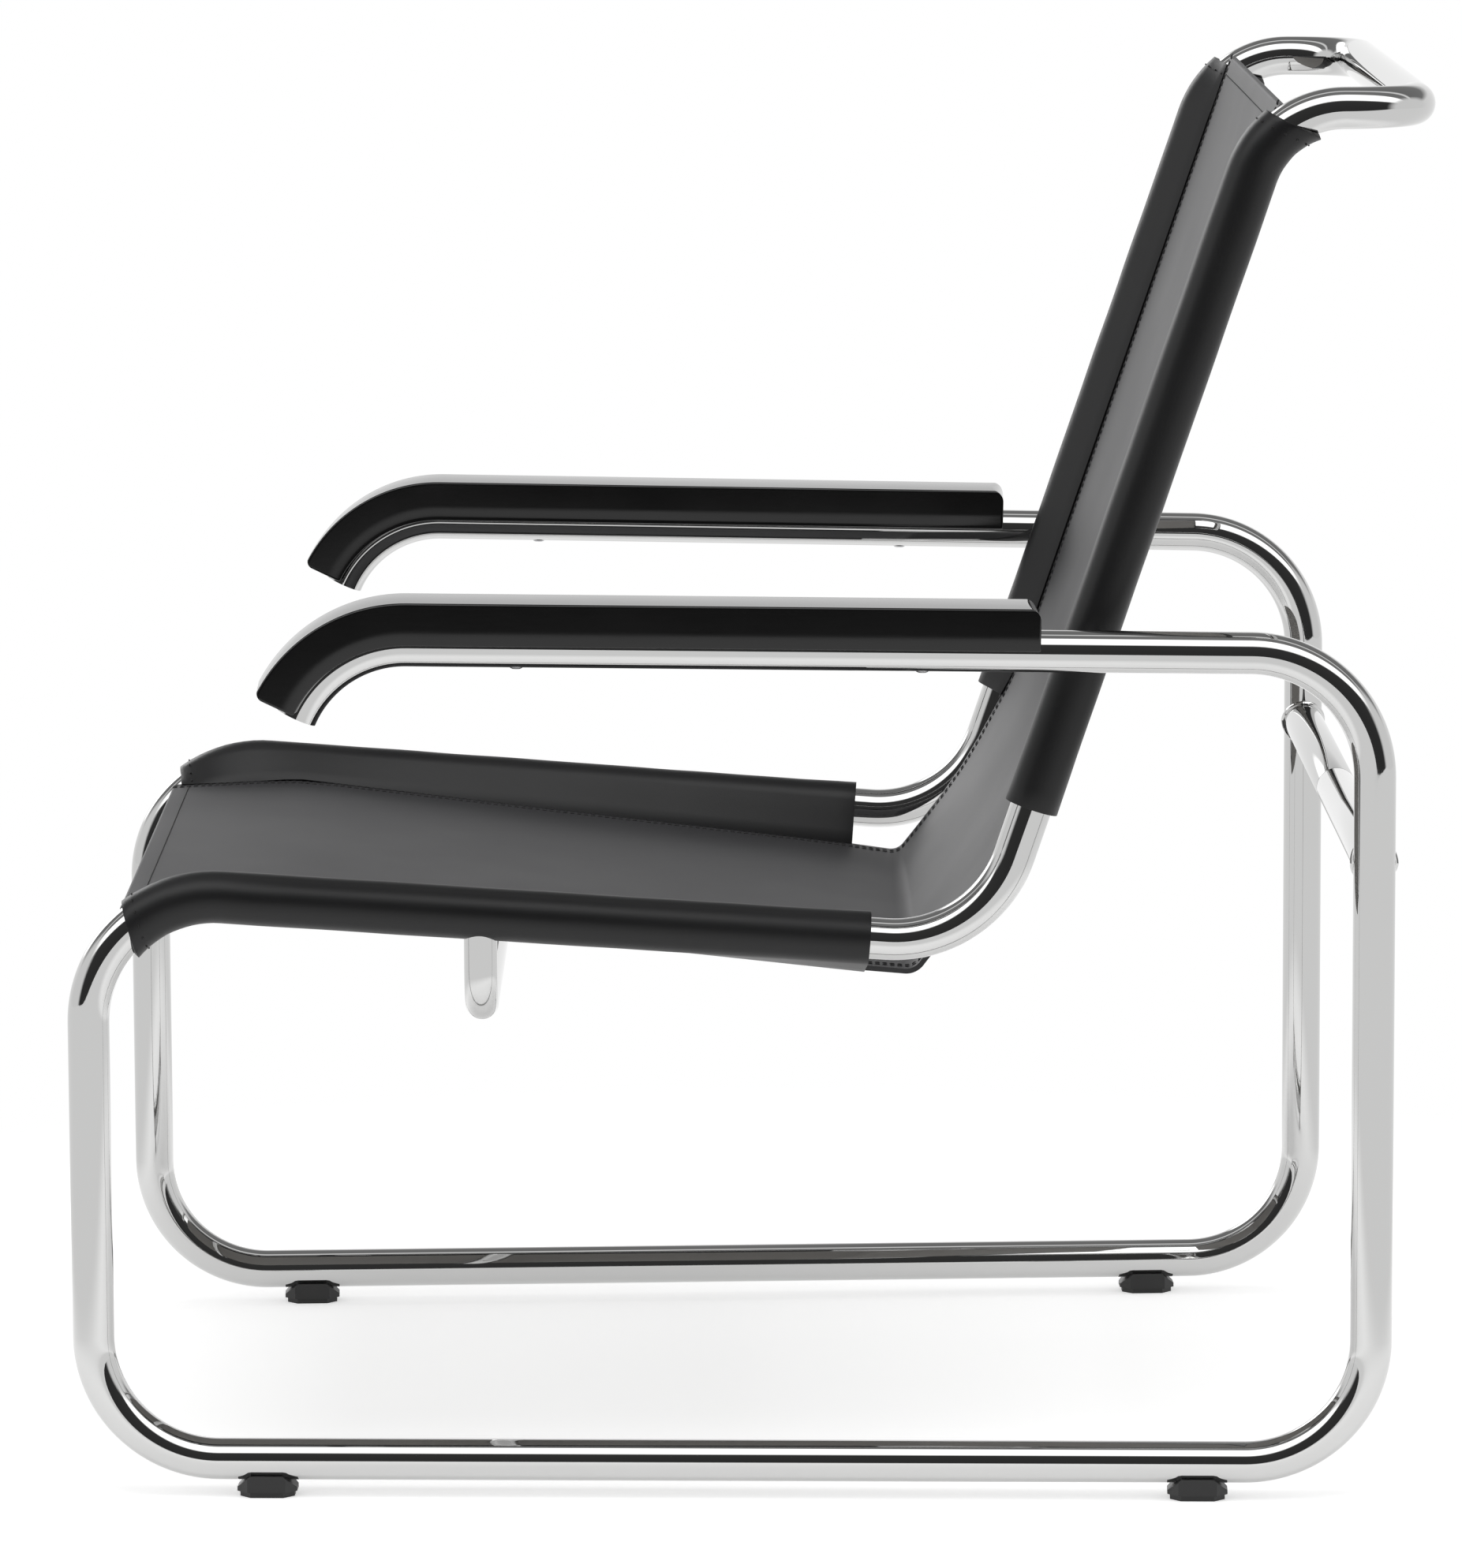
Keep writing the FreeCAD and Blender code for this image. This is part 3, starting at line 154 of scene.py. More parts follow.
def frame_corners(side):
    """Corner points of one side of the frame, by name."""
    s = sizes()
    front_x, rear_x = side * s.front_width / 2, side * s.rear_width / 2
    return {
        "floor_front": Vector((front_x, s.front_y, s.runner_z)),
        "floor_rear": Vector((rear_x, s.rear_y, s.runner_z)),
        "seat_front": Vector((front_x, s.front_y, s.seat_front_z)),
        "seat_rear": Vector((side * s.seat_rear_width / 2, s.seat_rear_y, s.seat_rear_z)),
        "back_top": Vector((side * s.head_width / 2, s.back_top_y, s.head_z)),
        "bar": Vector((side * s.head_width / 2, s.head_y, s.head_z)),
        "arm_rear": Vector((rear_x, s.rear_y, s.arm_rear_z)),
        "arm_front": Vector((side * s.arm_front_width / 2, s.rear_y - s.arm_length, s.arm_front_z)),
    }


def arm_turn(side):
    """Turn of the arm's front bend and its reach from the corner."""
    c = frame_corners(side)
    run = c["arm_front"] - c["arm_rear"]
    turn = sizes().arm_drop + math.asin(run.z / run.length)
    return turn, sizes().arm_bend * math.tan(turn / 2)


def arm_tip(side):
    """Centre of the arm's open end and the way it points."""
    c = frame_corners(side)
    level = c["arm_front"] - c["arm_rear"]
    level.z = 0
    level.normalize()
    outward = level * math.cos(sizes().arm_drop) - UP * math.sin(sizes().arm_drop)
    return c["arm_front"] + outward * arm_turn(side)[1], outward


def arm_matrix(side):
    """Frame of the arm: origin at the centre of its bend, Y back along the arm, Z square to it."""
    c = frame_corners(side)
    along = (c["arm_rear"] - c["arm_front"]).normalized()
    across = along.cross(UP).normalized()
    up = across.cross(along)
    origin = c["arm_front"] + along * arm_turn(side)[1] - up * sizes().arm_bend
    return Matrix.Translation(origin) @ Matrix((across, along, up)).transposed().to_4x4()


def stations(corners, radii, step=math.radians(2.5), spacing=None):
    """Points and headings along straight runs joined by arcs."""
    found = []

    def run(start, end):
        heading = (end - start).normalized()
        count = 1
        if spacing:
            count = max(1, round((end - start).length / spacing))
        for i in range(count + 1):
            add(start.lerp(end, i / count), heading)

    def add(point, heading):
        if not found or (point - found[-1][0]).length > 1e-6:
            found.append((point, heading))

    start = corners[0]
    for before, corner, after, radius in zip(corners, corners[1:], corners[2:], radii):
        back = (before - corner).normalized()
        ahead = (after - corner).normalized()
        turn = math.pi - back.angle(ahead)
        reach = radius * math.tan(turn / 2)
        arc_start = corner + back * reach
        centre = corner + (back + ahead).normalized() * (radius / math.cos(turn / 2))
        spoke = (arc_start - centre).normalized()
        run(start, arc_start)
        count = max(2, round(turn / step))
        for i in range(1, count + 1):
            angle = turn * i / count
            point = centre + (spoke * math.cos(angle) - back * math.sin(angle)) * radius
            add(point, (-back * math.cos(angle) - spoke * math.sin(angle)).normalized())
        start = found[-1][0]
    if (corners[-1] - start).length > 1e-6:
        run(start, corners[-1])
    return found


# Mesh helpers


def ring_faces(first, rings, around):
    """Faces between closed rings of vertices, with both ends capped."""
    faces = []
    for ring in range(rings - 1):
        low, high = first + ring * around, first + (ring + 1) * around
        for i in range(around):
            j = (i + 1) % around
            faces.append((low + i, low + j, high + j, high + i))
    last = first + (rings - 1) * around
    faces.append(tuple(first + i for i in reversed(range(around))))
    faces.append(tuple(last + i for i in range(around)))
    return faces


def outward_mesh(name, vertices, faces):
    """Mesh of closed forms whose faces point outward."""
    mesh = bpy.data.meshes.new(name)
    mesh.from_pydata([tuple(v) for v in vertices], [], faces)
    shape = bmesh.new()
    shape.from_mesh(mesh)
    bmesh.ops.recalc_face_normals(shape, faces=shape.faces)
    shape.to_mesh(mesh)
    shape.free()
    return mesh


def place(mesh, name, material, replaced=(), sharp=math.radians(35)):
    """Finishes a mesh as a piece of the chair."""
    mesh.shade_smooth()
    mesh.set_sharp_from_angle(angle=sharp)
    mesh.materials.append(material)
    piece = bpy.data.objects.new(name, mesh)
    bpy.context.scene.collection.objects.link(piece)
    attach(piece, BODY)
    if replaced:
        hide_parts(*replaced)
    return piece


def carried_frames(route):
    """Two cross directions at each station, carried along the route without twist."""
    first = route[0][1]
    side = first.cross(UP if abs(first.z) < 0.9 else ACROSS).normalized()
    frames = []
    for point, heading in route:
        side = (side - heading * side.dot(heading)).normalized()
        frames.append((point, side, heading.cross(side)))
    return frames


def circle(centre, first, second, radius, count):
    """Points round a circle in the plane of two directions."""
    turns = [2 * math.pi * i / count for i in range(count)]
    return [centre + (first * math.cos(turn) + second * math.sin(turn)) * radius for turn in turns]


def tube_mesh(name, route, radius):
    """Closed round bar along a route."""
    count = sizes().sides
    vertices = []
    for point, side, up in carried_frames(route):
        vertices += circle(point, side, up, radius, count)
    return outward_mesh(name, vertices, ring_faces(0, len(route), count))


# Materials


def add_node(tree, kind, inputs=(), **settings):
    """Shader node with its settings and its inputs, each a value or a socket to link."""
    made = tree.nodes.new("ShaderNode" + kind)
    for label, value in settings.items():
        setattr(made, label, value)
    for socket, value in dict(inputs).items():
        if isinstance(value, bpy.types.NodeSocket):
            tree.links.new(value, made.inputs[socket])
        else:
            made.inputs[socket].default_value = value
    return made


def combined(tree, operation, first, second=0.0):
    """Value of a Math node."""
    return add_node(tree, "Math", {0: first, 1: second}, operation=operation).outputs["Value"]


def ranged(tree, value, start, end, low, high, interpolation="LINEAR"):
    """Value carried from one range onto another."""
    spans = {"Value": value, "From Min": start, "From Max": end, "To Min": low, "To Max": high}
    return add_node(tree, "MapRange", spans, interpolation_type=interpolation).outputs["Result"]


def node_group(name, outputs, inputs):
    """Empty shader group with float sockets: names of the outputs, and names and defaults of the inputs."""
    group = bpy.data.node_groups.new(name, "ShaderNodeTree")
    for label in outputs:
        group.interface.new_socket(label, in_out="OUTPUT", socket_type="NodeSocketFloat")
    for label, default in inputs:
        socket = group.interface.new_socket(label, in_out="INPUT", socket_type="NodeSocketFloat")
        socket.default_value = default
    return group, group.nodes.new("NodeGroupInput"), group.nodes.new("NodeGroupOutput")


def fine_variation():
    """Group: slow and fine noise over a surface, for roughness, tint and relief."""
    name = "fine_variation"
    if name in bpy.data.node_groups:
        return bpy.data.node_groups[name]
    group, source, result = node_group(name, ("Slow", "Fine"), (("Slow Scale", 4.0), ("Fine Scale", 400.0)))
    place_on = add_node(group, "TexCoord").outputs["Object"]
    for socket, detail in (("Slow", 3.0), ("Fine", 4.0)):
        scale = source.outputs[socket + " Scale"]
        pattern = add_node(group, "TexNoise", {"Vector": place_on, "Scale": scale, "Detail": detail})
        group.links.new(pattern.outputs["Fac"], result.inputs[socket])
    return group


def leather_grain():
    """Group: the pebbled grain of smooth saddle leather, as relief."""
    name = "leather_grain"
    if name in bpy.data.node_groups:
        return bpy.data.node_groups[name]
    group, source, result = node_group(name, ("Relief",), (("Scale", 900.0),))
    furrow_width, furrow_share = 0.12, 0.5
    place_on = add_node(group, "TexCoord").outputs["Object"]
    scale = source.outputs["Scale"]
    cells = add_node(group, "TexVoronoi", {"Vector": place_on, "Scale": scale}, feature="DISTANCE_TO_EDGE")
    furrow = ranged(group, cells.outputs["Distance"], 0.0, furrow_width, 0.0, 1.0)
    pores = add_node(group, "TexNoise", {"Vector": place_on, "Scale": scale, "Detail": 5.0}).outputs["Fac"]
    mixed = add_node(group, "Math", {0: furrow, 1: furrow_share, 2: pores}, operation="MULTIPLY_ADD")
    group.links.new(mixed.outputs["Value"], result.inputs["Relief"])
    return group


def use_group(tree, group, values):
    """Group node in a material, with its inputs set."""
    user = tree.nodes.new("ShaderNodeGroup")
    user.node_tree = group
    for label, value in values.items():
        user.inputs[label].default_value = value
    return user


def variation(tree, slow, fine):
    """Slow and fine noise at the given scales, by name."""
    return use_group(tree, fine_variation(), {"Slow Scale": slow, "Fine Scale": fine}).outputs


def new_material(name):
    """Material with its tree and its Principled shader, which are None where it already exists."""
    if name in bpy.data.materials:
        return bpy.data.materials[name], None, None
    material = bpy.data.materials.new(name)
    material.use_nodes = True
    tree = material.node_tree
    return material, tree, tree.nodes["Principled BSDF"]


def dress_shader(tree, shader, tint, shades, tint_mask, rough, rough_mask, height, strength, distance):
    """Feeds a shader: two shades of a tint, a span of roughness and a relief, each by its mask."""
    ends = {"A": (*(tint * shades[0]), 1), "B": (*(tint * shades[1]), 1), "Factor": tint_mask}
    mix = add_node(tree, "Mix", ends, data_type="RGBA")
    tree.links.new(mix.outputs["Result"], shader.inputs["Base Color"])
    tree.links.new(ranged(tree, rough_mask, 0.3, 0.7, *rough), shader.inputs["Roughness"])
    bump = add_node(tree, "Bump", {"Strength": strength, "Distance": distance, "Height": height})
    tree.links.new(bump.outputs["Normal"], shader.inputs["Normal"])


def plain_material(name, tint, scales, masks, shades, rough, relief, metal=0.0):
    """Finish whose tint, roughness and relief all vary by the two noises."""
    material, tree, shader = new_material(name)
    if tree is None:
        return material
    shader.inputs["Metallic"].default_value = metal
    marks = variation(tree, *scales)
    dress_shader(tree, shader, Vector(tint), shades, marks[masks[0]],
                 rough, marks[masks[1]], marks["Fine"], *relief)
    return material


def chrome_material():
    """Mirror chrome with a faint haze from polishing."""
    return plain_material("chrome_plate", colours().chrome, (9.0, 350.0), ("Slow", "Slow"), (0.985, 1.0),
                          (0.022, 0.036), (0.015, 0.00005), metal=1.0)


def steel_material():
    """Zinc plated steel of screws and inner pieces."""
    return plain_material("plated_steel", colours().steel, (60.0, 900.0), ("Slow", "Fine"), (0.85, 1.0),
                          (0.25, 0.42), (0.1, 0.0001), metal=1.0)


def flesh_material():
    """Sueded flesh side of the leather."""
    return plain_material("leather_flesh_side", colours().flesh, (12.0, 700.0), ("Fine", "Slow"), (0.75, 1.15),
                          (0.85, 0.95), (0.4, 0.0004))


def thread_material():
    """Waxed thread."""
    return plain_material("waxed_thread", colours().thread, (80.0, 2500.0), ("Slow", "Fine"), (0.8, 1.3),
                          (0.5, 0.7), (0.3, 0.0002))


def plastic_material():
    """Moulded black nylon."""
    return plain_material("black_nylon", colours().plastic, (50.0, 1500.0), ("Slow", "Slow"), (0.8, 1.2),
                          (0.4, 0.5), (0.15, 0.0001))


def leather_material(name, lift, rough, gloss):
    """Smooth black saddle leather, grain side; lift scales its colour, and a lift above 1 is a painted sheen."""
    material, tree, shader = new_material(name)
    if tree is None:
        return material
    grain = use_group(tree, leather_grain(), {"Scale": 800.0}).outputs["Relief"]
    clouds = variation(tree, 7.0, 120.0)["Slow"]
    shader.inputs["Specular IOR Level"].default_value = gloss
    # Lift scales the leather's own colour: where it is above 1 the extra lightness is a painted sheen.
    dress_shader(tree, shader, Vector(colours().leather) * lift, (0.8, 1.25), clouds, rough, clouds, grain,
                 0.10, 0.0003)
    return material


def wood_material():
    """Black stained beech under satin lacquer, with a trace of grain along the arm."""
    material, tree, shader = new_material("stained_beech")
    if tree is None:
        return material
    place_on = add_node(tree, "TexCoord").outputs["Object"]
    along_arm = add_node(tree, "Mapping", {"Vector": place_on, "Scale": (1.0, 0.05, 1.0)}).outputs["Vector"]
    fibres = add_node(tree, "TexNoise", {"Vector": along_arm, "Scale": 900.0, "Detail": 4.0}).outputs["Fac"]
    clouds = variation(tree, 10.0, 500.0)["Slow"]
    shader.inputs["Specular IOR Level"].default_value = 0.45
    dress_shader(tree, shader, Vector(colours().wood), (0.7, 1.3), fibres, (0.09, 0.13), clouds, fibres,
                 0.02, 0.0001)
    return material


# Chrome tubes


class CHAIR_OT_tubes(bpy.types.Operator):
    """Bend the chrome tubes of the frame, the cross tube and the brace"""

    bl_idname = "chair.tubes"
    bl_label = "Frame tubes"

    def execute(self, context):
        s = sizes()
        radius = s.tube / 2
        finish = chrome_material()
        loops = []
        for label, side in SIDES:
            c = frame_corners(side)
            joint = c["seat_front"].lerp(c["seat_rear"], joint_share())
            tip, _ = arm_tip(side)
            names = ("seat_front", "floor_front", "floor_rear", "arm_rear", "arm_front")
            corners = [joint] + [c[name] for name in names] + [tip]
            route = stations(corners, [s.bend] * 4 + [s.arm_bend])
            place(tube_mesh(label + "_side_tube", route, radius), label + "_side_tube", finish,
                  [label + "_side_frame"])
            loops.append([joint, c["seat_rear"], c["back_top"], c["bar"]])
            self.cross_half(label, side, finish)
        corners = loops[0] + loops[1][::-1]
        bends = [s.bend, s.head_bend, s.bar_bend]
        route = stations(corners, bends + bends[::-1])
        place(tube_mesh("seat_back_tube", route, radius), "seat_back_tube", finish,
              ["seat_back_loop"])
        self.brace(finish)
        return {"FINISHED"}

    def cross_half(self, label, side, finish):
        """Half of the rear cross tube with the weld at the upright."""
        s = sizes()
        hairline = 0.00015
        end = Vector((side * s.rear_width / 2, s.rear_y, s.cross_z))
        middle = Vector((side * hairline, s.rear_y, s.cross_z))
        edge = 0.0006
        radius = s.tube / 2
        mesh = tube_mesh(label + "_cross_tube_round", [(middle, ACROSS * side), (end, ACROSS * side)], radius)
        shape = bmesh.new()
        shape.from_mesh(mesh)
        rim = [e for e in shape.edges if all(abs(v.co.x - middle.x) < 1e-5 for v in e.verts)]
        bmesh.ops.bevel(shape, geom=rim, offset=edge, segments=3, affect="EDGES", profile=0.5)
        shape.to_mesh(mesh)
        shape.free()
        place(mesh, label + "_cross_tube_round", finish, [label + "_cross_tube"])
        place(weld_mesh(label + "_cross_weld", end, side), label + "_cross_weld", finish)

    def brace(self, finish):
        """U-shaped brace under the seat rails."""
        s = sizes()
        corners = []
        for _, side in SIDES:
            c = frame_corners(side)
            top = c["seat_front"].lerp(c["seat_rear"], s.brace_setback / (s.seat_rear_y - s.front_y))
            corners.append([top, Vector((top.x, top.y, s.brace_z))])
        route = stations(corners[0] + corners[1][::-1], [s.brace_bend] * 2)
        place(tube_mesh("brace_tube", route, s.brace_tube / 2), "brace_tube", finish,
              ["under_seat_brace"])


def joint_share():
    """Share of the seat rail ahead of its joint."""
    s = sizes()
    return (BAR_LOW.y - s.front_y) / (s.seat_rear_y - s.front_y)


def weld_mesh(name, end, side):
    """Bead round the saddle where the cross tube meets the upright."""
    radius = sizes().tube / 2
    bead, spread_out, setback = 0.001736, 1.02, 0.0007
    rings, around = 64, 10
    vertices, faces = [], []
    for i in range(rings):
        turn = 2 * math.pi * i / rings
        y, z = radius * math.cos(turn), radius * math.sin(turn)
        reach = math.sqrt(max(radius ** 2 - y ** 2, 0))
        centre = end + Vector((-side * (reach + setback), y * spread_out, z * spread_out))
        vertices += circle(centre, Vector((0, y, z)).normalized(), ACROSS, bead, around)
        k = (i + 1) % rings
        for j in range(around):
            m = (j + 1) % around
            faces.append((i * around + j, i * around + m, k * around + m, k * around + j))
    return outward_mesh(name, vertices, faces)


# Arm pads


def arc(centre, radius, start, end, steps):
    """Points of an arc in a section: (across, up)."""
    turns = [start + (end - start) * i / steps for i in range(steps + 1)]
    return [(centre[0] + radius * math.cos(turn), centre[1] + radius * math.sin(turn)) for turn in turns]


def pad_section():
    """Half outline of the pad's section, from the groove's top round the skirt to the crown: (across, up)."""
    s = sizes()
    groove, half, upper = s.tube / 2, s.pad_width / 2, s.pad_edge
    lower, beside, tuck, tuck_height = 0.0009, 0.0003, 0.0004, 0.010
    shoulder, foot = s.pad_rise - s.pad_crown, s.pad_skirt + lower
    level = math.pi / 2
    points = arc((0, 0), groove, level, math.asin(s.pad_skirt / groove), 12)
    points.append((half - tuck - lower - beside, s.pad_skirt))
    points += arc((half - tuck - lower, foot), lower, -level, 0, 4)
    for share in (0.2, 0.4, 0.6, 0.8, 1.0):
        points.append((half - tuck * (1 - share) ** 2, foot + (tuck_height - lower) * share))
    points.append((half, shoulder - upper - beside))
    points += arc((half - upper, shoulder - upper), upper, 0, level, 8)
    steps = 6
    for i in range(steps):
        share = 1 - i / steps
        points.append(((half - upper - beside) * share, shoulder + s.pad_crown * (1 - share ** 2)))
    return points


class CHAIR_OT_pads(bpy.types.Operator):
    """Shape the wooden pads on the arm tubes"""

    bl_idname = "chair.arm_pads"
    bl_label = "Arm pads"

    def execute(self, context):
        for label, side in SIDES:
            self.pad(label, side)
        return {"FINISHED"}

    def pad(self, label, side):
        """One pad: its section carried along the arm and round its bend, with rounded ends."""
        s = sizes()
        half = pad_section()
        outline = half + [(0.0, s.pad_rise)] + [(-x, z) for x, z in reversed(half[1:])]
        matrix = arm_matrix(side)
        lines = self.pad_lines(arm_turn(side)[0])
        vertices = []
        for along, angle, distance, corner in lines:
            for x, up in outline:
                x, up = self.drawn_in(x, up, distance, corner)
                height = s.arm_bend + up
                local = Vector((x, along - height * math.sin(angle), height * math.cos(angle)))
                vertices.append(matrix @ local)
        name = label + "_pad_wood"
        mesh = outward_mesh(name, vertices, ring_faces(0, len(lines), len(outline)))
        place(mesh, name, wood_material(), [label + "_arm_pad"], sharp=math.radians(40))

    def drawn_in(self, x, up, distance, corner):
        """Point of the section, drawn in where it is near an end: by the round corner and by the edge."""
        s = sizes()
        side_band, skirt_band, groove_lip = 0.003, 0.002, 0.001
        if distance < corner:
            up = min(up, s.pad_rise - corner + math.sqrt(corner ** 2 - (corner - distance) ** 2))
        if distance < s.pad_end:
            inset = s.pad_end - math.sqrt(s.pad_end ** 2 - (s.pad_end - distance) ** 2)
            if abs(x) > s.pad_width / 2 - side_band:
                x -= math.copysign(inset, x)
            if up < s.pad_skirt + skirt_band and abs(x) > s.tube / 2 + groove_lip:
                up += inset
        return x, up

    def pad_lines(self, turn):
        """Sections of a pad: place on the straight, angle on the bend, distance to an end and corner there."""
        s = sizes()
        straight_steps, bend_steps, clear, far = 8, 26, 0.001, 1.0

        def from_end(corner):
            edge = [s.pad_end * (1 - math.cos(math.pi / 2 * i / 4)) for i in range(5)]
            wide = [corner * (1 - math.cos(math.pi / 2 * i / 12)) for i in range(1, 13)]
            return edge + [distance for distance in wide if distance > s.pad_end * 1.1]

        lines = [(s.pad_length - distance, 0.0, distance, s.pad_tail) for distance in from_end(s.pad_tail)]
        for i in range(1, straight_steps + 1):
            lines.append(((s.pad_length - s.pad_tail) * (1 - i / straight_steps), 0.0, far, s.pad_tail))
        reach = s.arm_bend + s.pad_rise
        last = turn - s.pad_short / reach
        for i in range(1, bend_steps + 1):
            lines.append((0.0, (last - (s.pad_nose + clear) / reach) * i / bend_steps, far, s.pad_nose))
        for distance in reversed(from_end(s.pad_nose)):
            lines.append((0.0, last - distance / reach, distance, s.pad_nose))
        return lines


# Leather


def panel_profile():
    """Corners of the panel's upper face in the middle plane and the radius of each turn."""
    s = sizes()
    front = s.front_y
    corners = [Vector((0, front + y, z)) for y, z in (
        (0.0172, 0.3524), (0.1002, 0.3570), (0.4937, 0.3103), (0.5372, 0.3660),
        (0.5727, 0.4311), (0.7105, 0.8300))]
    return corners, [0.300, 0.010, 0.250, 0.250]


def panel_stations():
    """Stations of the panel with its normal, towards the sitter, and the length up to each."""
    corners, radii = panel_profile()
    route = stations(corners, radii, step=math.radians(4), spacing=0.012)
    lengths = [0.0]
    for before, after in zip(route, route[1:]):
        lengths.append(lengths[-1] + (after[0] - before[0]).length)
    return [(point, heading, ACROSS.cross(heading).normalized()) for point, heading in route], lengths


def rail_half_width(y):
    """Half the distance between the rails' axes at a Y."""
    c = frame_corners(1)
    start, end = c["seat_front"], c["seat_rear"]
    if y >= end.y:
        start, end = end, c["back_top"]
    return start.x + (end.x - start.x) * (y - start.y) / (end.y - start.y)


def panel_sag(share, length, total):
    """Depth of the panel below its edges, by its share across and its length from the front edge."""
    s = sizes()
    fold, fullness = 0.40, 0.8
    place_along = length / total
    depth, swell = s.seat_sag, place_along / fold
    if place_along >= fold:
        depth, swell = s.back_sag, (place_along - fold) / (1 - fold)
    return depth * math.sin(math.pi * swell) ** fullness * (1 - share ** 2)


def panel_half_width(point):
    """Half width of the panel at a station, drawn in at the notch by the fold."""
    s = sizes()
    c = frame_corners(1)
    lap, notch_depth, notch_reach, notch_ahead = 0.005, 0.010, 0.045, 0.028
    notch_centre = Vector((0, c["seat_rear"].y - notch_ahead, c["seat_rear"].z))
    away = (Vector((0, point.y, point.z)) - notch_centre).length
    notch = notch_depth * math.exp(-(away / notch_reach) ** 2)
    return rail_half_width(point.y) - s.seam_inset + lap - notch


def panel_point(station, share, length, total):
    """Point on the panel's upper face."""
    point, _, normal = station
    half = panel_half_width(point)
    return point + ACROSS * (share * half) - normal * panel_sag(share, length, total)


class CHAIR_OT_panel(bpy.types.Operator):
    """Stretch the leather panel of seat and back, with its hems"""

    bl_idname = "chair.leather_panel"
    bl_label = "Leather panel"

    def execute(self, context):
        s = sizes()
        route, lengths = panel_stations()
        total = lengths[-1]
        columns, hem_plies, crease_depth, crease_width = 40, 1.75, 0.0004, 0.0012
        shares = [-1 + 2 * i / columns for i in range(columns + 1)]
        vertices = []
        for station, length in zip(route, lengths):
            edge = min(length, total - length)
            thick = s.leather * (hem_plies if edge < s.hem else 1.0)
            crease = crease_depth * math.exp(-((edge - s.hem) / crease_width) ** 2)
            tops = [panel_point(station, share, length, total) for share in shares]
            vertices += [top - station[2] * crease for top in tops]
            vertices += [top - station[2] * thick for top in reversed(tops)]
        rows, around = len(route), 2 * len(shares)
        faces = ring_faces(0, rows, around)[:-2]
        for first in (0, (rows - 1) * around):
            last = first + around - 1
            faces += [(first + i, first + i + 1, last - i - 1, last - i) for i in range(columns)]
        mesh = outward_mesh("seat_back_leather", vertices, faces)
        self.round_hems(mesh, route)
        # The panel's copy of the leather is painted three times lighter than the sleeves' copy: a painted sheen.
        grain_side = leather_material("panel_leather_painted_sheen", 3.0, (0.50, 0.57), 0.5)
        panel = place(mesh, "seat_back_leather", grain_side, ["leather_panel"])
        mesh.materials.append(flesh_material())
        self.paint_flesh_side(mesh, route)
        return {"FINISHED"}

    def round_hems(self, mesh, route):
        """Rounds the folded edges at the front and the top."""
        shape = bmesh.new()
        shape.from_mesh(mesh)
        rims = []
        for edge in shape.edges:
            if len(edge.link_faces) != 2 or edge.calc_face_angle(0) < math.radians(60):
                continue
            for point, heading, _ in (route[0], route[-1]):
                if all(abs((v.co - point).dot(heading)) < 1e-4 for v in edge.verts):
                    rims.append(edge)
        bmesh.ops.bevel(shape, geom=rims, offset=sizes().leather * 0.7, segments=4,
                        affect="EDGES", profile=0.5)
        shape.to_mesh(mesh)
        shape.free()

    def paint_flesh_side(self, mesh, route):
        """Gives the panel's hidden face its flesh side."""
        (front, front_heading, _), (top, top_heading, _) = route[0], route[-1]
        for face in mesh.polygons:
            flat = Vector((0, face.center.y, face.center.z))
            nearest = min(route, key=lambda station: (flat - station[0]).length)
            inside = min((face.center - front).dot(front_heading), (top - face.center).dot(top_heading))
            if face.normal.dot(nearest[2]) < -0.7 and inside > sizes().hem:
                face.material_index = 1


def seam_depth(centre, upward):
    """Distance from a rail's axis to the panel's middle, along a direction of the side view."""
    corners, _ = panel_profile()
    corners[0] = corners[1].lerp(corners[0], 4)
    corners[-1] = corners[-2].lerp(corners[-1], 2)
    reaches = []
    for start, end in zip(corners, corners[1:]):
        run = end - start
        cross = upward.y * run.z - upward.z * run.y
        gap = start - Vector((0, centre.y, centre.z))
        share = (gap.y * upward.z - gap.z * upward.y) / cross
        if -1e-6 <= share <= 1 + 1e-6:
            reaches.append((gap.y * run.z - gap.z * run.y) / cross)
    return min(reaches, key=abs)


def sleeve_directions(heading, side):
    """Inboard and upward directions square to a rail."""
    inboard = heading.cross(UP).normalized()
    if inboard.x * side > 0:
        inboard = -inboard
    upward = inboard.cross(heading).normalized()
    if upward.z < 0:
        upward = -upward
    return inboard, upward


def seam_point(centre, heading, side):
    """Middle of the seam beside a rail's axis."""
    inboard, upward = sleeve_directions(heading, side)
    flat = Vector((0, upward.y, upward.z)).normalized()
    return centre + inboard * sizes().seam_inset + upward * (seam_depth(centre, flat) - sizes().leather / 2)


def sleeve_strip(centre, heading, side, wide):
    """Outside of the sleeve in one section, from the seam over the rail and under it back to the seam."""
    seam = seam_point(centre, heading, side)
    narrow, steps = 0.0026, 44
    toward = (seam - centre).normalized()
    beside = toward.cross(heading).normalized()
    if beside.dot(sleeve_directions(heading, side)[1]) < 0:
        beside = -beside
    lean = math.asin((wide - narrow) / (seam - centre).length)
    start = math.pi / 2 - lean
    turns = [start + (2 * math.pi - 2 * start) * i / steps for i in range(steps + 1)]
    around = [centre + (toward * math.cos(turn) + beside * math.sin(turn)) * wide for turn in turns]
    first = seam + (toward * math.sin(lean) + beside * math.cos(lean)) * narrow
    last = seam + (toward * math.sin(lean) - beside * math.cos(lean)) * narrow
    shares = (0.33, 0.66)
    opening = [first.lerp(around[0], share) for share in shares]
    closing = [around[-1].lerp(last, share) for share in shares]
    return [first] + opening + around + closing + [last]


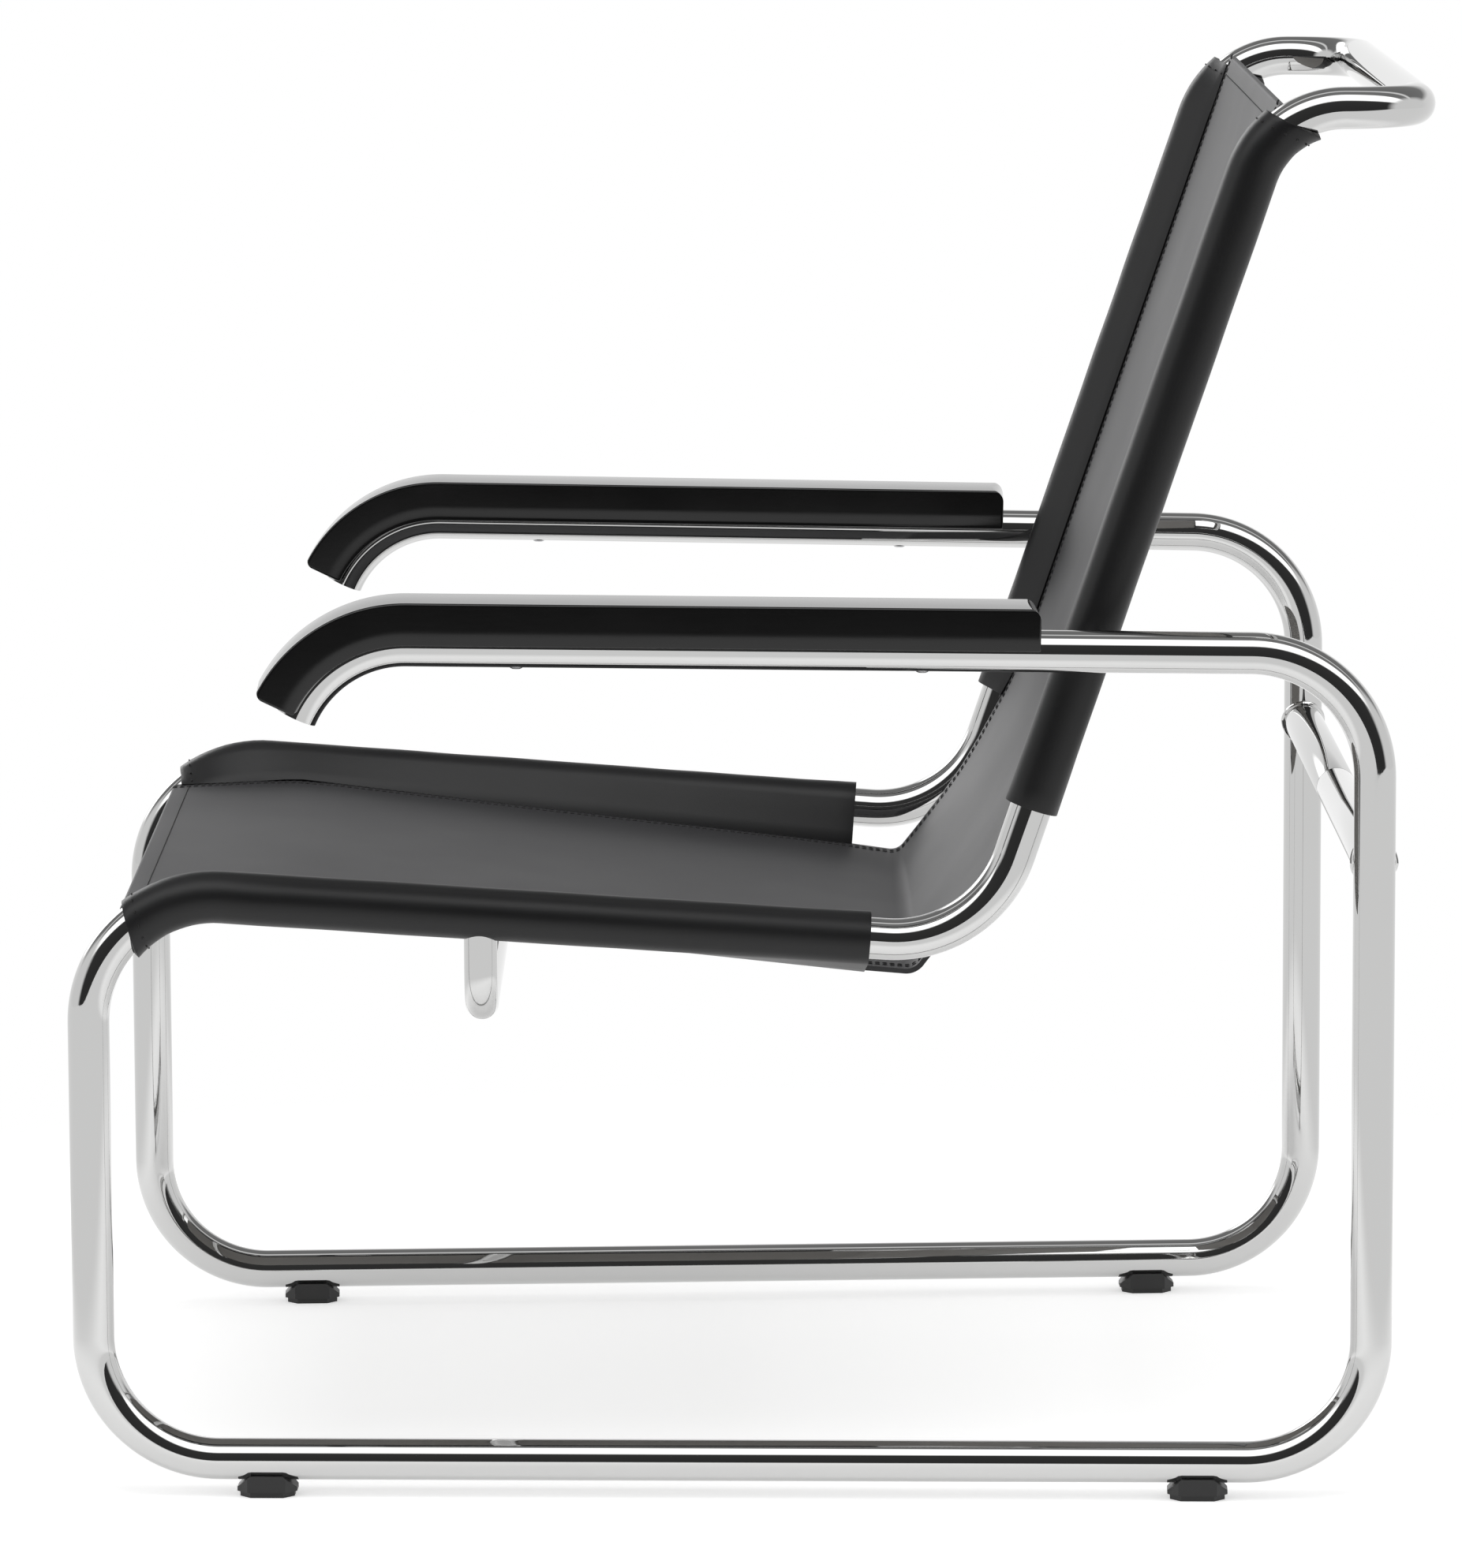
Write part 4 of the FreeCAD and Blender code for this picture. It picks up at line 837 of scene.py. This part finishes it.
class CHAIR_OT_sleeves(bpy.types.Operator):
    """Wrap the leather sleeves round the rails"""

    bl_idname = "chair.sleeves"
    bl_label = "Leather sleeves"

    def execute(self, context):
        s = sizes()
        seat_length, back_foot_z = 0.4662, 0.413
        seat_lean, back_lean = math.radians(16.5), math.radians(27.6)
        front_cut = (Vector((0, s.front_y + 0.0245, 0.349)),
                     Vector((0, -math.cos(seat_lean), -math.sin(seat_lean))))
        top_cut = (Vector((0, s.back_top_y + 0.008, 0.8209)),
                   Vector((0, math.sin(back_lean), math.cos(back_lean))))
        for label, side in SIDES:
            c = frame_corners(side)
            rear = c["seat_front"].lerp(c["seat_rear"], seat_length / (s.seat_rear_y - s.front_y))
            below = c["seat_front"] - UP * s.bend * 1.2
            self.sleeve(label + "_seat_sleeve", side, [rear, c["seat_front"], below], s.bend, front_cut)
            back_share = (back_foot_z - s.seat_rear_z) / (s.head_z - s.seat_rear_z)
            foot = c["seat_rear"].lerp(c["back_top"], back_share)
            self.sleeve(label + "_back_sleeve", side, [foot, c["back_top"], c["bar"]], s.head_bend, top_cut)
        return {"FINISHED"}

    def sleeve(self, replaced, side, corners, bend, cut):
        """One sleeve along its rail, cut off square at its start and by a plane at its end."""
        s = sizes()
        name = replaced + "_leather"
        inner = s.tube / 2 + s.sleeve_play
        past_cut, wave_height, start_flare, end_flare = 0.012, 0.00025, 0.0005, 0.0006
        route = stations(corners, [bend], step=math.radians(4), spacing=0.012)
        kept = [station for station in route if (station[0] - cut[0]).dot(cut[1]) < past_cut]
        rows = []
        total = len(kept) - 1
        for number, (centre, heading) in enumerate(kept):
            wave = noise.noise(Vector((number * 0.35, side * 3.1, 0.7))) * wave_height
            flare = start_flare * max(0.0, 1 - number / 3) + end_flare * max(0.0, 1 - (total - number) / 6)
            rows.append(sleeve_strip(centre, heading, side, inner + s.leather + flare + wave))
        count = len(rows[0])
        faces = []
        for r in range(total):
            low, high = r * count, (r + 1) * count
            faces += [(low + i, low + i + 1, high + i + 1, high + i) for i in range(count - 1)]
        mesh = outward_mesh(name, [point for row in rows for point in row], faces)
        shape = bmesh.new()
        shape.from_mesh(mesh)
        bmesh.ops.bisect_plane(shape, geom=shape.verts[:] + shape.edges[:] + shape.faces[:], dist=1e-6,
                               plane_co=cut[0], plane_no=cut[1], clear_outer=True)
        centre = kept[len(kept) // 2][0]
        far = max(shape.faces, key=lambda face: (face.calc_center_median() - centre).dot(ACROSS * side))
        if far.normal.dot(ACROSS * side) < 0:
            bmesh.ops.reverse_faces(shape, faces=shape.faces)
        shape.to_mesh(mesh)
        shape.free()
        self.end_stitches(replaced + "_stitches", rows, kept, cut)
        finish = leather_material("sleeve_leather", 0.9, (0.38, 0.44), 0.35)
        piece = place(mesh, name, finish, [replaced])
        thick = piece.modifiers.new("thickness", "SOLIDIFY")
        thick.thickness = s.leather
        thick.offset = -1
        thick.use_even_offset = True
        soften(piece, 0.0006, 60)
        apply_modifiers(piece)
        piece.data.set_sharp_from_angle(angle=math.radians(50))

    def end_stitches(self, name, rows, kept, cut):
        """Row of wide stitches beside the end of a sleeve."""
        from_end, pitch, length, thick = 0.007, 0.0085, 0.0022, 0.0011
        line = []
        for i in range(len(rows[0])):
            for row, after, station in zip(rows, rows[1:], kept):
                start = (row[i] - cut[0]).dot(cut[1]) + from_end
                end = (after[i] - cut[0]).dot(cut[1]) + from_end
                if start <= 0 < end:
                    point = row[i].lerp(after[i], -start / (end - start))
                    away = point - station[0]
                    line.append((point, (away - station[1] * away.dot(station[1])).normalized()))
                    break
        vertices, faces = [], []
        for point, along, normal in spaced(line, pitch):
            stitch_into(vertices, faces, point, along, normal, length, thick)
        thread_piece(name, vertices, faces)


def soften(piece, width, angle):
    """Bevel modifier on the edges sharper than an angle in degrees."""
    bevel = piece.modifiers.new("edge", "BEVEL")
    bevel.width = width
    bevel.segments = 2
    bevel.limit_method = "ANGLE"
    bevel.angle_limit = math.radians(angle)


def apply_modifiers(piece):
    """Bakes an object's modifiers into its mesh."""
    graph = bpy.context.evaluated_depsgraph_get()
    baked = bpy.data.meshes.new_from_object(piece.evaluated_get(graph), depsgraph=graph)
    old = piece.data
    piece.modifiers.clear()
    piece.data = baked
    baked.name = old.name
    bpy.data.meshes.remove(old)


# Stitching


def stitch_into(vertices, faces, point, along, normal, length, thick):
    """One stitch: a short thread that dips into the leather at both ends."""
    side = along.cross(normal).normalized()
    rings, around, rise, dip, least = 5, 6, 0.30, 1.6, 0.1
    first = len(vertices)
    for i in range(rings):
        share = i / (rings - 1) * 2 - 1
        lift = thick * rise * (1 - dip * share ** 4)
        thin = thick / 2 * math.sqrt(max(1 - share ** 4, least))
        vertices += circle(point + along * (share * length / 2) + normal * lift, side, normal, thin, around)
    faces += ring_faces(first, rings, around)


def thread_piece(name, vertices, faces):
    """Piece of many stitches."""
    place(outward_mesh(name, vertices, faces), name, thread_material())


def spaced(points, pitch):
    """Points and headings at an even pitch along a polyline."""
    found = []
    need = pitch / 2
    for (start, up_start), (end, up_end) in zip(points, points[1:]):
        run = (end - start).length
        while need <= run:
            share = need / run
            found.append((start.lerp(end, share), (end - start).normalized(),
                          up_start.lerp(up_end, share).normalized()))
            need += pitch
        need -= run
    return found


class CHAIR_OT_stitches(bpy.types.Operator):
    """Sew the seams and the hems; the sleeve ends are sewn with the sleeves"""

    bl_idname = "chair.stitches"
    bl_label = "Stitching"

    def execute(self, context):
        s = sizes()
        route, lengths = panel_stations()
        total = lengths[-1]
        for label, side in SIDES:
            lines = []
            for inset in (0.0085, 0.0145):
                lines.append([])
                for station, length in zip(route, lengths):
                    half = panel_half_width(station[0])
                    point = panel_point(station, side * (half - inset) / half, length, total)
                    lines[-1].append((point, station[2]))
            self.sew(label + "_seam_stitches", lines)
        steps, reach = 40, 0.95
        for label, end in (("front", 0.0), ("top", total)):
            near = min(range(len(route)), key=lambda n: abs(abs(lengths[n] - end) - s.hem))
            line = []
            for i in range(steps + 1):
                share = (i / steps * 2 - 1) * reach
                line.append((panel_point(route[near], share, lengths[near], total), route[near][2]))
            self.sew(label + "_hem_stitches", [line])
        return {"FINISHED"}

    def sew(self, name, lines):
        """Stitches along lines of points and normals."""
        s = sizes()
        vertices, faces = [], []
        for line in lines:
            for point, along, normal in spaced(line, s.stitch_pitch):
                stitch_into(vertices, faces, point, along, normal, s.stitch, s.thread)
        thread_piece(name, vertices, faces)


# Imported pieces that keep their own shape


class CHAIR_OT_fittings(bpy.types.Operator):
    """Finish the glides, plugs, screws and inner pieces as packed"""

    bl_idname = "chair.fittings"
    bl_label = "Glides and fittings"

    def execute(self, context):
        for name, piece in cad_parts.items():
            if name.endswith(("_saddle", "_sole")):
                self.dress(piece, plastic_material(), 0.0006)
            elif name.endswith("_plug"):
                self.dress(piece, chrome_material(), 0.0004)
            elif name.endswith(("_screws", "_spigot", "_inserts")) and name != "arm_pad_screws":
                self.dress(piece, steel_material(), 0.0003)
        self.pad_screws(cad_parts["arm_pad_screws"])
        return {"FINISHED"}

    def pad_screws(self, packed):
        """Low raised heads of the screws that come up through the arm tubes into the pads."""
        radius, around, smallest = sizes().tube / 2, 24, 0.0001
        profile = ((0.0, -0.0004), (0.0011, -0.0004), (0.0013, 0.0009), (0.0022, 0.0008), (0.0031, 0.0004),
                   (0.0036, -0.0002), (0.0036, -0.0012))
        vertices, faces = [], []
        for middle in self.screw_places(packed):
            c = frame_corners(1 if middle.x > 0 else -1)
            run = c["arm_front"] - c["arm_rear"]
            on_axis = c["arm_rear"] + run * ((middle.y - c["arm_rear"].y) / run.y)
            along = run.normalized()
            across = along.cross(UP).normalized()
            down = along.cross(across).normalized()
            if down.z > 0:
                down = -down
            first = len(vertices)
            for out, up in profile:
                vertices += circle(on_axis + down * (radius + up), along, across, max(out, smallest), around)
            faces += ring_faces(first, len(profile), around)
        mesh = outward_mesh("pad_screw_heads", vertices, faces)
        place(mesh, "pad_screw_heads", steel_material(), ["arm_pad_screws"])

    def screw_places(self, packed):
        """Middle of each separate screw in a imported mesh."""
        mesh = packed.data
        group = list(range(len(mesh.vertices)))

        def leader(i):
            while group[i] != i:
                group[i] = group[group[i]]
                i = group[i]
            return i

        for edge in mesh.edges:
            first, second = (leader(i) for i in edge.vertices)
            group[first] = second
        islands = {}
        for vertex in mesh.vertices:
            islands.setdefault(leader(vertex.index), []).append(packed.matrix_world @ vertex.co)
        return [sum(points, Vector()) / len(points) for points in islands.values()]

    def dress(self, piece, material, edge):
        """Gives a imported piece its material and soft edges."""
        piece.data.materials.clear()
        piece.data.materials.append(material)
        soften(piece, edge, 40)


# Stage


class CHAIR_OT_stage(bpy.types.Operator):
    """Set the floor, the lights, the world and the camera"""

    bl_idname = "chair.stage"
    bl_label = "Stage"

    def execute(self, context):
        self.floor()
        self.lamps()
        self.world()
        self.camera()
        context.scene.view_settings.view_transform = "Standard"
        return {"FINISHED"}

    def floor(self):
        """Pale floor that keeps the chair's shadow and runs into a white background."""
        reach, front = 6.0, 3.3
        glow, fade_start, fade_end = 0.52, 0.65, 1.05
        corners = [(-reach, -reach, 0), (front, -reach, 0), (front, reach, 0), (-reach, reach, 0)]
        mesh = bpy.data.meshes.new("floor")
        mesh.from_pydata(corners, [], [(0, 1, 2, 3)])
        floor = bpy.data.objects.new("floor", mesh)
        bpy.context.scene.collection.objects.link(floor)
        material = bpy.data.materials.new("pale_floor")
        material.use_nodes = True
        tree = material.node_tree
        shader = tree.nodes["Principled BSDF"]
        shader.inputs["Base Color"].default_value = (*colours().floor, 1)
        shader.inputs["Roughness"].default_value = 0.9
        shader.inputs["Specular IOR Level"].default_value = 0.0
        place_on = add_node(tree, "TexCoord").outputs["Object"]
        away = add_node(tree, "VectorMath", {0: place_on}, operation="LENGTH").outputs["Value"]
        far = ranged(tree, away, fade_start, fade_end, 0.0, 1.0, "SMOOTHSTEP")
        path = add_node(tree, "LightPath").outputs
        mirrored = combined(tree, "MAXIMUM", path["Is Glossy Ray"], path["Is Transmission Ray"])
        seen = combined(tree, "MAXIMUM", path["Is Camera Ray"], mirrored)
        lift = add_node(tree, "Emission", {"Strength": combined(tree, "MULTIPLY", seen, glow)})
        near = add_node(tree, "AddShader", {0: shader.outputs["BSDF"], 1: lift.outputs["Emission"]})
        white = add_node(tree, "Emission").outputs["Emission"]
        total = add_node(tree, "MixShader", {0: combined(tree, "MULTIPLY", far, seen),
                                          1: near.outputs["Shader"], 2: white})
        tree.links.new(total.outputs["Shader"], tree.nodes["Material Output"].inputs["Surface"])
        mesh.materials.append(material)

    def lamps(self):
        """Large soft lamps over and beside the chair, seen only by their light."""
        lamps = (
            ("top_lamp", (0.4, 0.0, 2.6), (0.0, 0.0, 0.0), 2.4, 34.0),
            ("front_lamp", (1.6, -2.4, 1.9), (0.0, 0.0, 0.35), 1.8, 10.0),
            ("rear_lamp", (0.4, 2.6, 1.9), (0.0, 0.0, 0.35), 1.8, 8.0),
        )
        for name, place_at, target, width, power in lamps:
            light = bpy.data.lights.new(name, "AREA")
            light.shape = "SQUARE"
            light.size = width
            light.energy = power
            lamp = bpy.data.objects.new(name, light)
            lamp.location = place_at
            lamp.rotation_mode = "QUATERNION"
            lamp.rotation_quaternion = (Vector(place_at) - Vector(target)).to_track_quat("Z", "Y")
            lamp.visible_glossy = False
            lamp.visible_camera = False
            bpy.context.scene.collection.objects.link(lamp)

    def world(self):
        """Studio seen in reflections: dark wall on the camera's side, softboxes above, pale ends and far wall."""
        world = bpy.data.worlds.new("studio")
        bpy.context.scene.world = world
        world.cycles.sampling_method = "NONE"
        world.use_nodes = True
        tree = world.node_tree
        tree.nodes.clear()
        direction = add_node(tree, "TexCoord").outputs["Generated"]
        axes = add_node(tree, "SeparateXYZ", {"Vector": direction}).outputs
        above = combined(tree, "MAXIMUM", axes["Z"])
        turn = combined(tree, "DIVIDE", combined(tree, "ARCTAN2", above, axes["X"]), math.pi)
        ramp = add_node(tree, "ValToRGB", {"Fac": turn})
        # Brightness by the turn from the camera's horizon over the top to the far horizon, in degrees.
        room = ((0, 0.04), (41, 0.05), (48, 2.3), (77, 2.3), (82, 0.25), (101, 0.25), (104, 1.0), (108, 1.0),
                (112, 0.22), (148, 0.25), (162, 1.0), (180, 1.0))
        brightest = max(shade for _, shade in room)
        marks = ramp.color_ramp.elements
        for degrees, _ in room[1:-1]:
            marks.new(degrees / 180)
        for mark, (_, shade) in zip(marks, room):
            mark.color = (shade / brightest,) * 3 + (1.0,)
        pattern = combined(tree, "MULTIPLY", ramp.outputs["Color"], brightest)
        end_shade, ends_start, ends_full = 0.95, 0.80, 0.93
        sideways = combined(tree, "ABSOLUTE", axes["Y"])
        endways = ranged(tree, sideways, ends_start, ends_full, 0.0, 1.0, "SMOOTHSTEP")
        ends = combined(tree, "MULTIPLY", endways, combined(tree, "SUBTRACT", end_shade, pattern))
        fill_way = Vector((-0.80, -0.48, 0.34)).normalized()
        fill_edge, fill_core = math.cos(math.radians(17)), math.cos(math.radians(11))
        facing = add_node(tree, "VectorMath", {0: direction, 1: fill_way}, operation="DOT_PRODUCT")
        fill = ranged(tree, facing.outputs["Value"], fill_edge, fill_core, 0.0, 3.0, "SMOOTHSTEP")
        bright = combined(tree, "ADD", combined(tree, "ADD", pattern, ends), fill)
        white = (1, 1, 1, 1)
        reflected, lighting, backdrop = (
            add_node(tree, "Background", {"Color": white, "Strength": strength}).outputs["Background"]
            for strength in (bright, 0.55, 1.0))
        path = add_node(tree, "LightPath").outputs
        lit = add_node(tree, "MixShader", {0: path["Is Glossy Ray"], 1: lighting, 2: reflected})
        seen = combined(tree, "MAXIMUM", path["Is Camera Ray"], path["Is Transmission Ray"])
        total = add_node(tree, "MixShader", {0: seen, 1: lit.outputs["Shader"], 2: backdrop})
        add_node(tree, "OutputWorld", {"Surface": total.outputs["Shader"]})

    def camera(self):
        """Camera at the photograph's place."""
        focal_pixels, picture_height = 10470.6, 1988
        data = bpy.data.cameras.new("camera")
        data.sensor_width = 36.0
        data.lens = focal_pixels / picture_height * data.sensor_width
        data.clip_start = 0.1
        data.clip_end = 60.0
        camera = bpy.data.objects.new("camera", data)
        yaw, pitch, roll = math.radians(-0.0690), math.radians(8.5358), math.radians(-0.2571)
        turn = Matrix.Rotation(yaw, 3, "Z")
        ahead = turn @ Vector((-1, 0, 0))
        level = turn @ Vector((0, 1, 0))
        forward = ahead * math.cos(pitch) - UP * math.sin(pitch)
        above = UP * math.cos(pitch) + ahead * math.sin(pitch)
        right = level * math.cos(roll) + above * math.sin(roll)
        top = above * math.cos(roll) - level * math.sin(roll)
        axes = Matrix((right, top, -forward)).transposed().to_4x4()
        camera.matrix_world = Matrix.Translation((5.1280, -0.0180, 1.1587)) @ axes
        bpy.context.scene.collection.objects.link(camera)
        bpy.context.scene.camera = camera


OPERATORS = (CHAIR_OT_tubes, CHAIR_OT_pads, CHAIR_OT_panel, CHAIR_OT_sleeves, CHAIR_OT_stitches,
             CHAIR_OT_fittings, CHAIR_OT_stage)


class CHAIR_PT_panel(bpy.types.Panel):
    """Sidebar panel with the steps that build the chair"""

    bl_idname = "CHAIR_PT_panel"
    bl_label = "Lounge chair"
    bl_space_type = "VIEW_3D"
    bl_region_type = "UI"
    bl_category = "Chair"

    def draw(self, context):
        for operator in OPERATORS:
            self.layout.operator(operator.bl_idname)
        for group in (context.scene.chair_sizes, context.scene.chair_colours):
            for name in group.__annotations__:
                self.layout.prop(group, name)


CLASSES = (ChairSizes, ChairColours) + OPERATORS + (CHAIR_PT_panel,)


def register():
    for cls in CLASSES:
        bpy.utils.register_class(cls)
    bpy.types.Scene.chair_sizes = PointerProperty(type=ChairSizes)
    bpy.types.Scene.chair_colours = PointerProperty(type=ChairColours)


def unregister():
    del bpy.types.Scene.chair_colours
    del bpy.types.Scene.chair_sizes
    for cls in reversed(CLASSES):
        bpy.utils.unregister_class(cls)


def main():
    register()
    for operator in OPERATORS:
        group, name = operator.bl_idname.split(".")
        getattr(getattr(bpy.ops, group), name)()


if __name__ == "__main__":
    main()
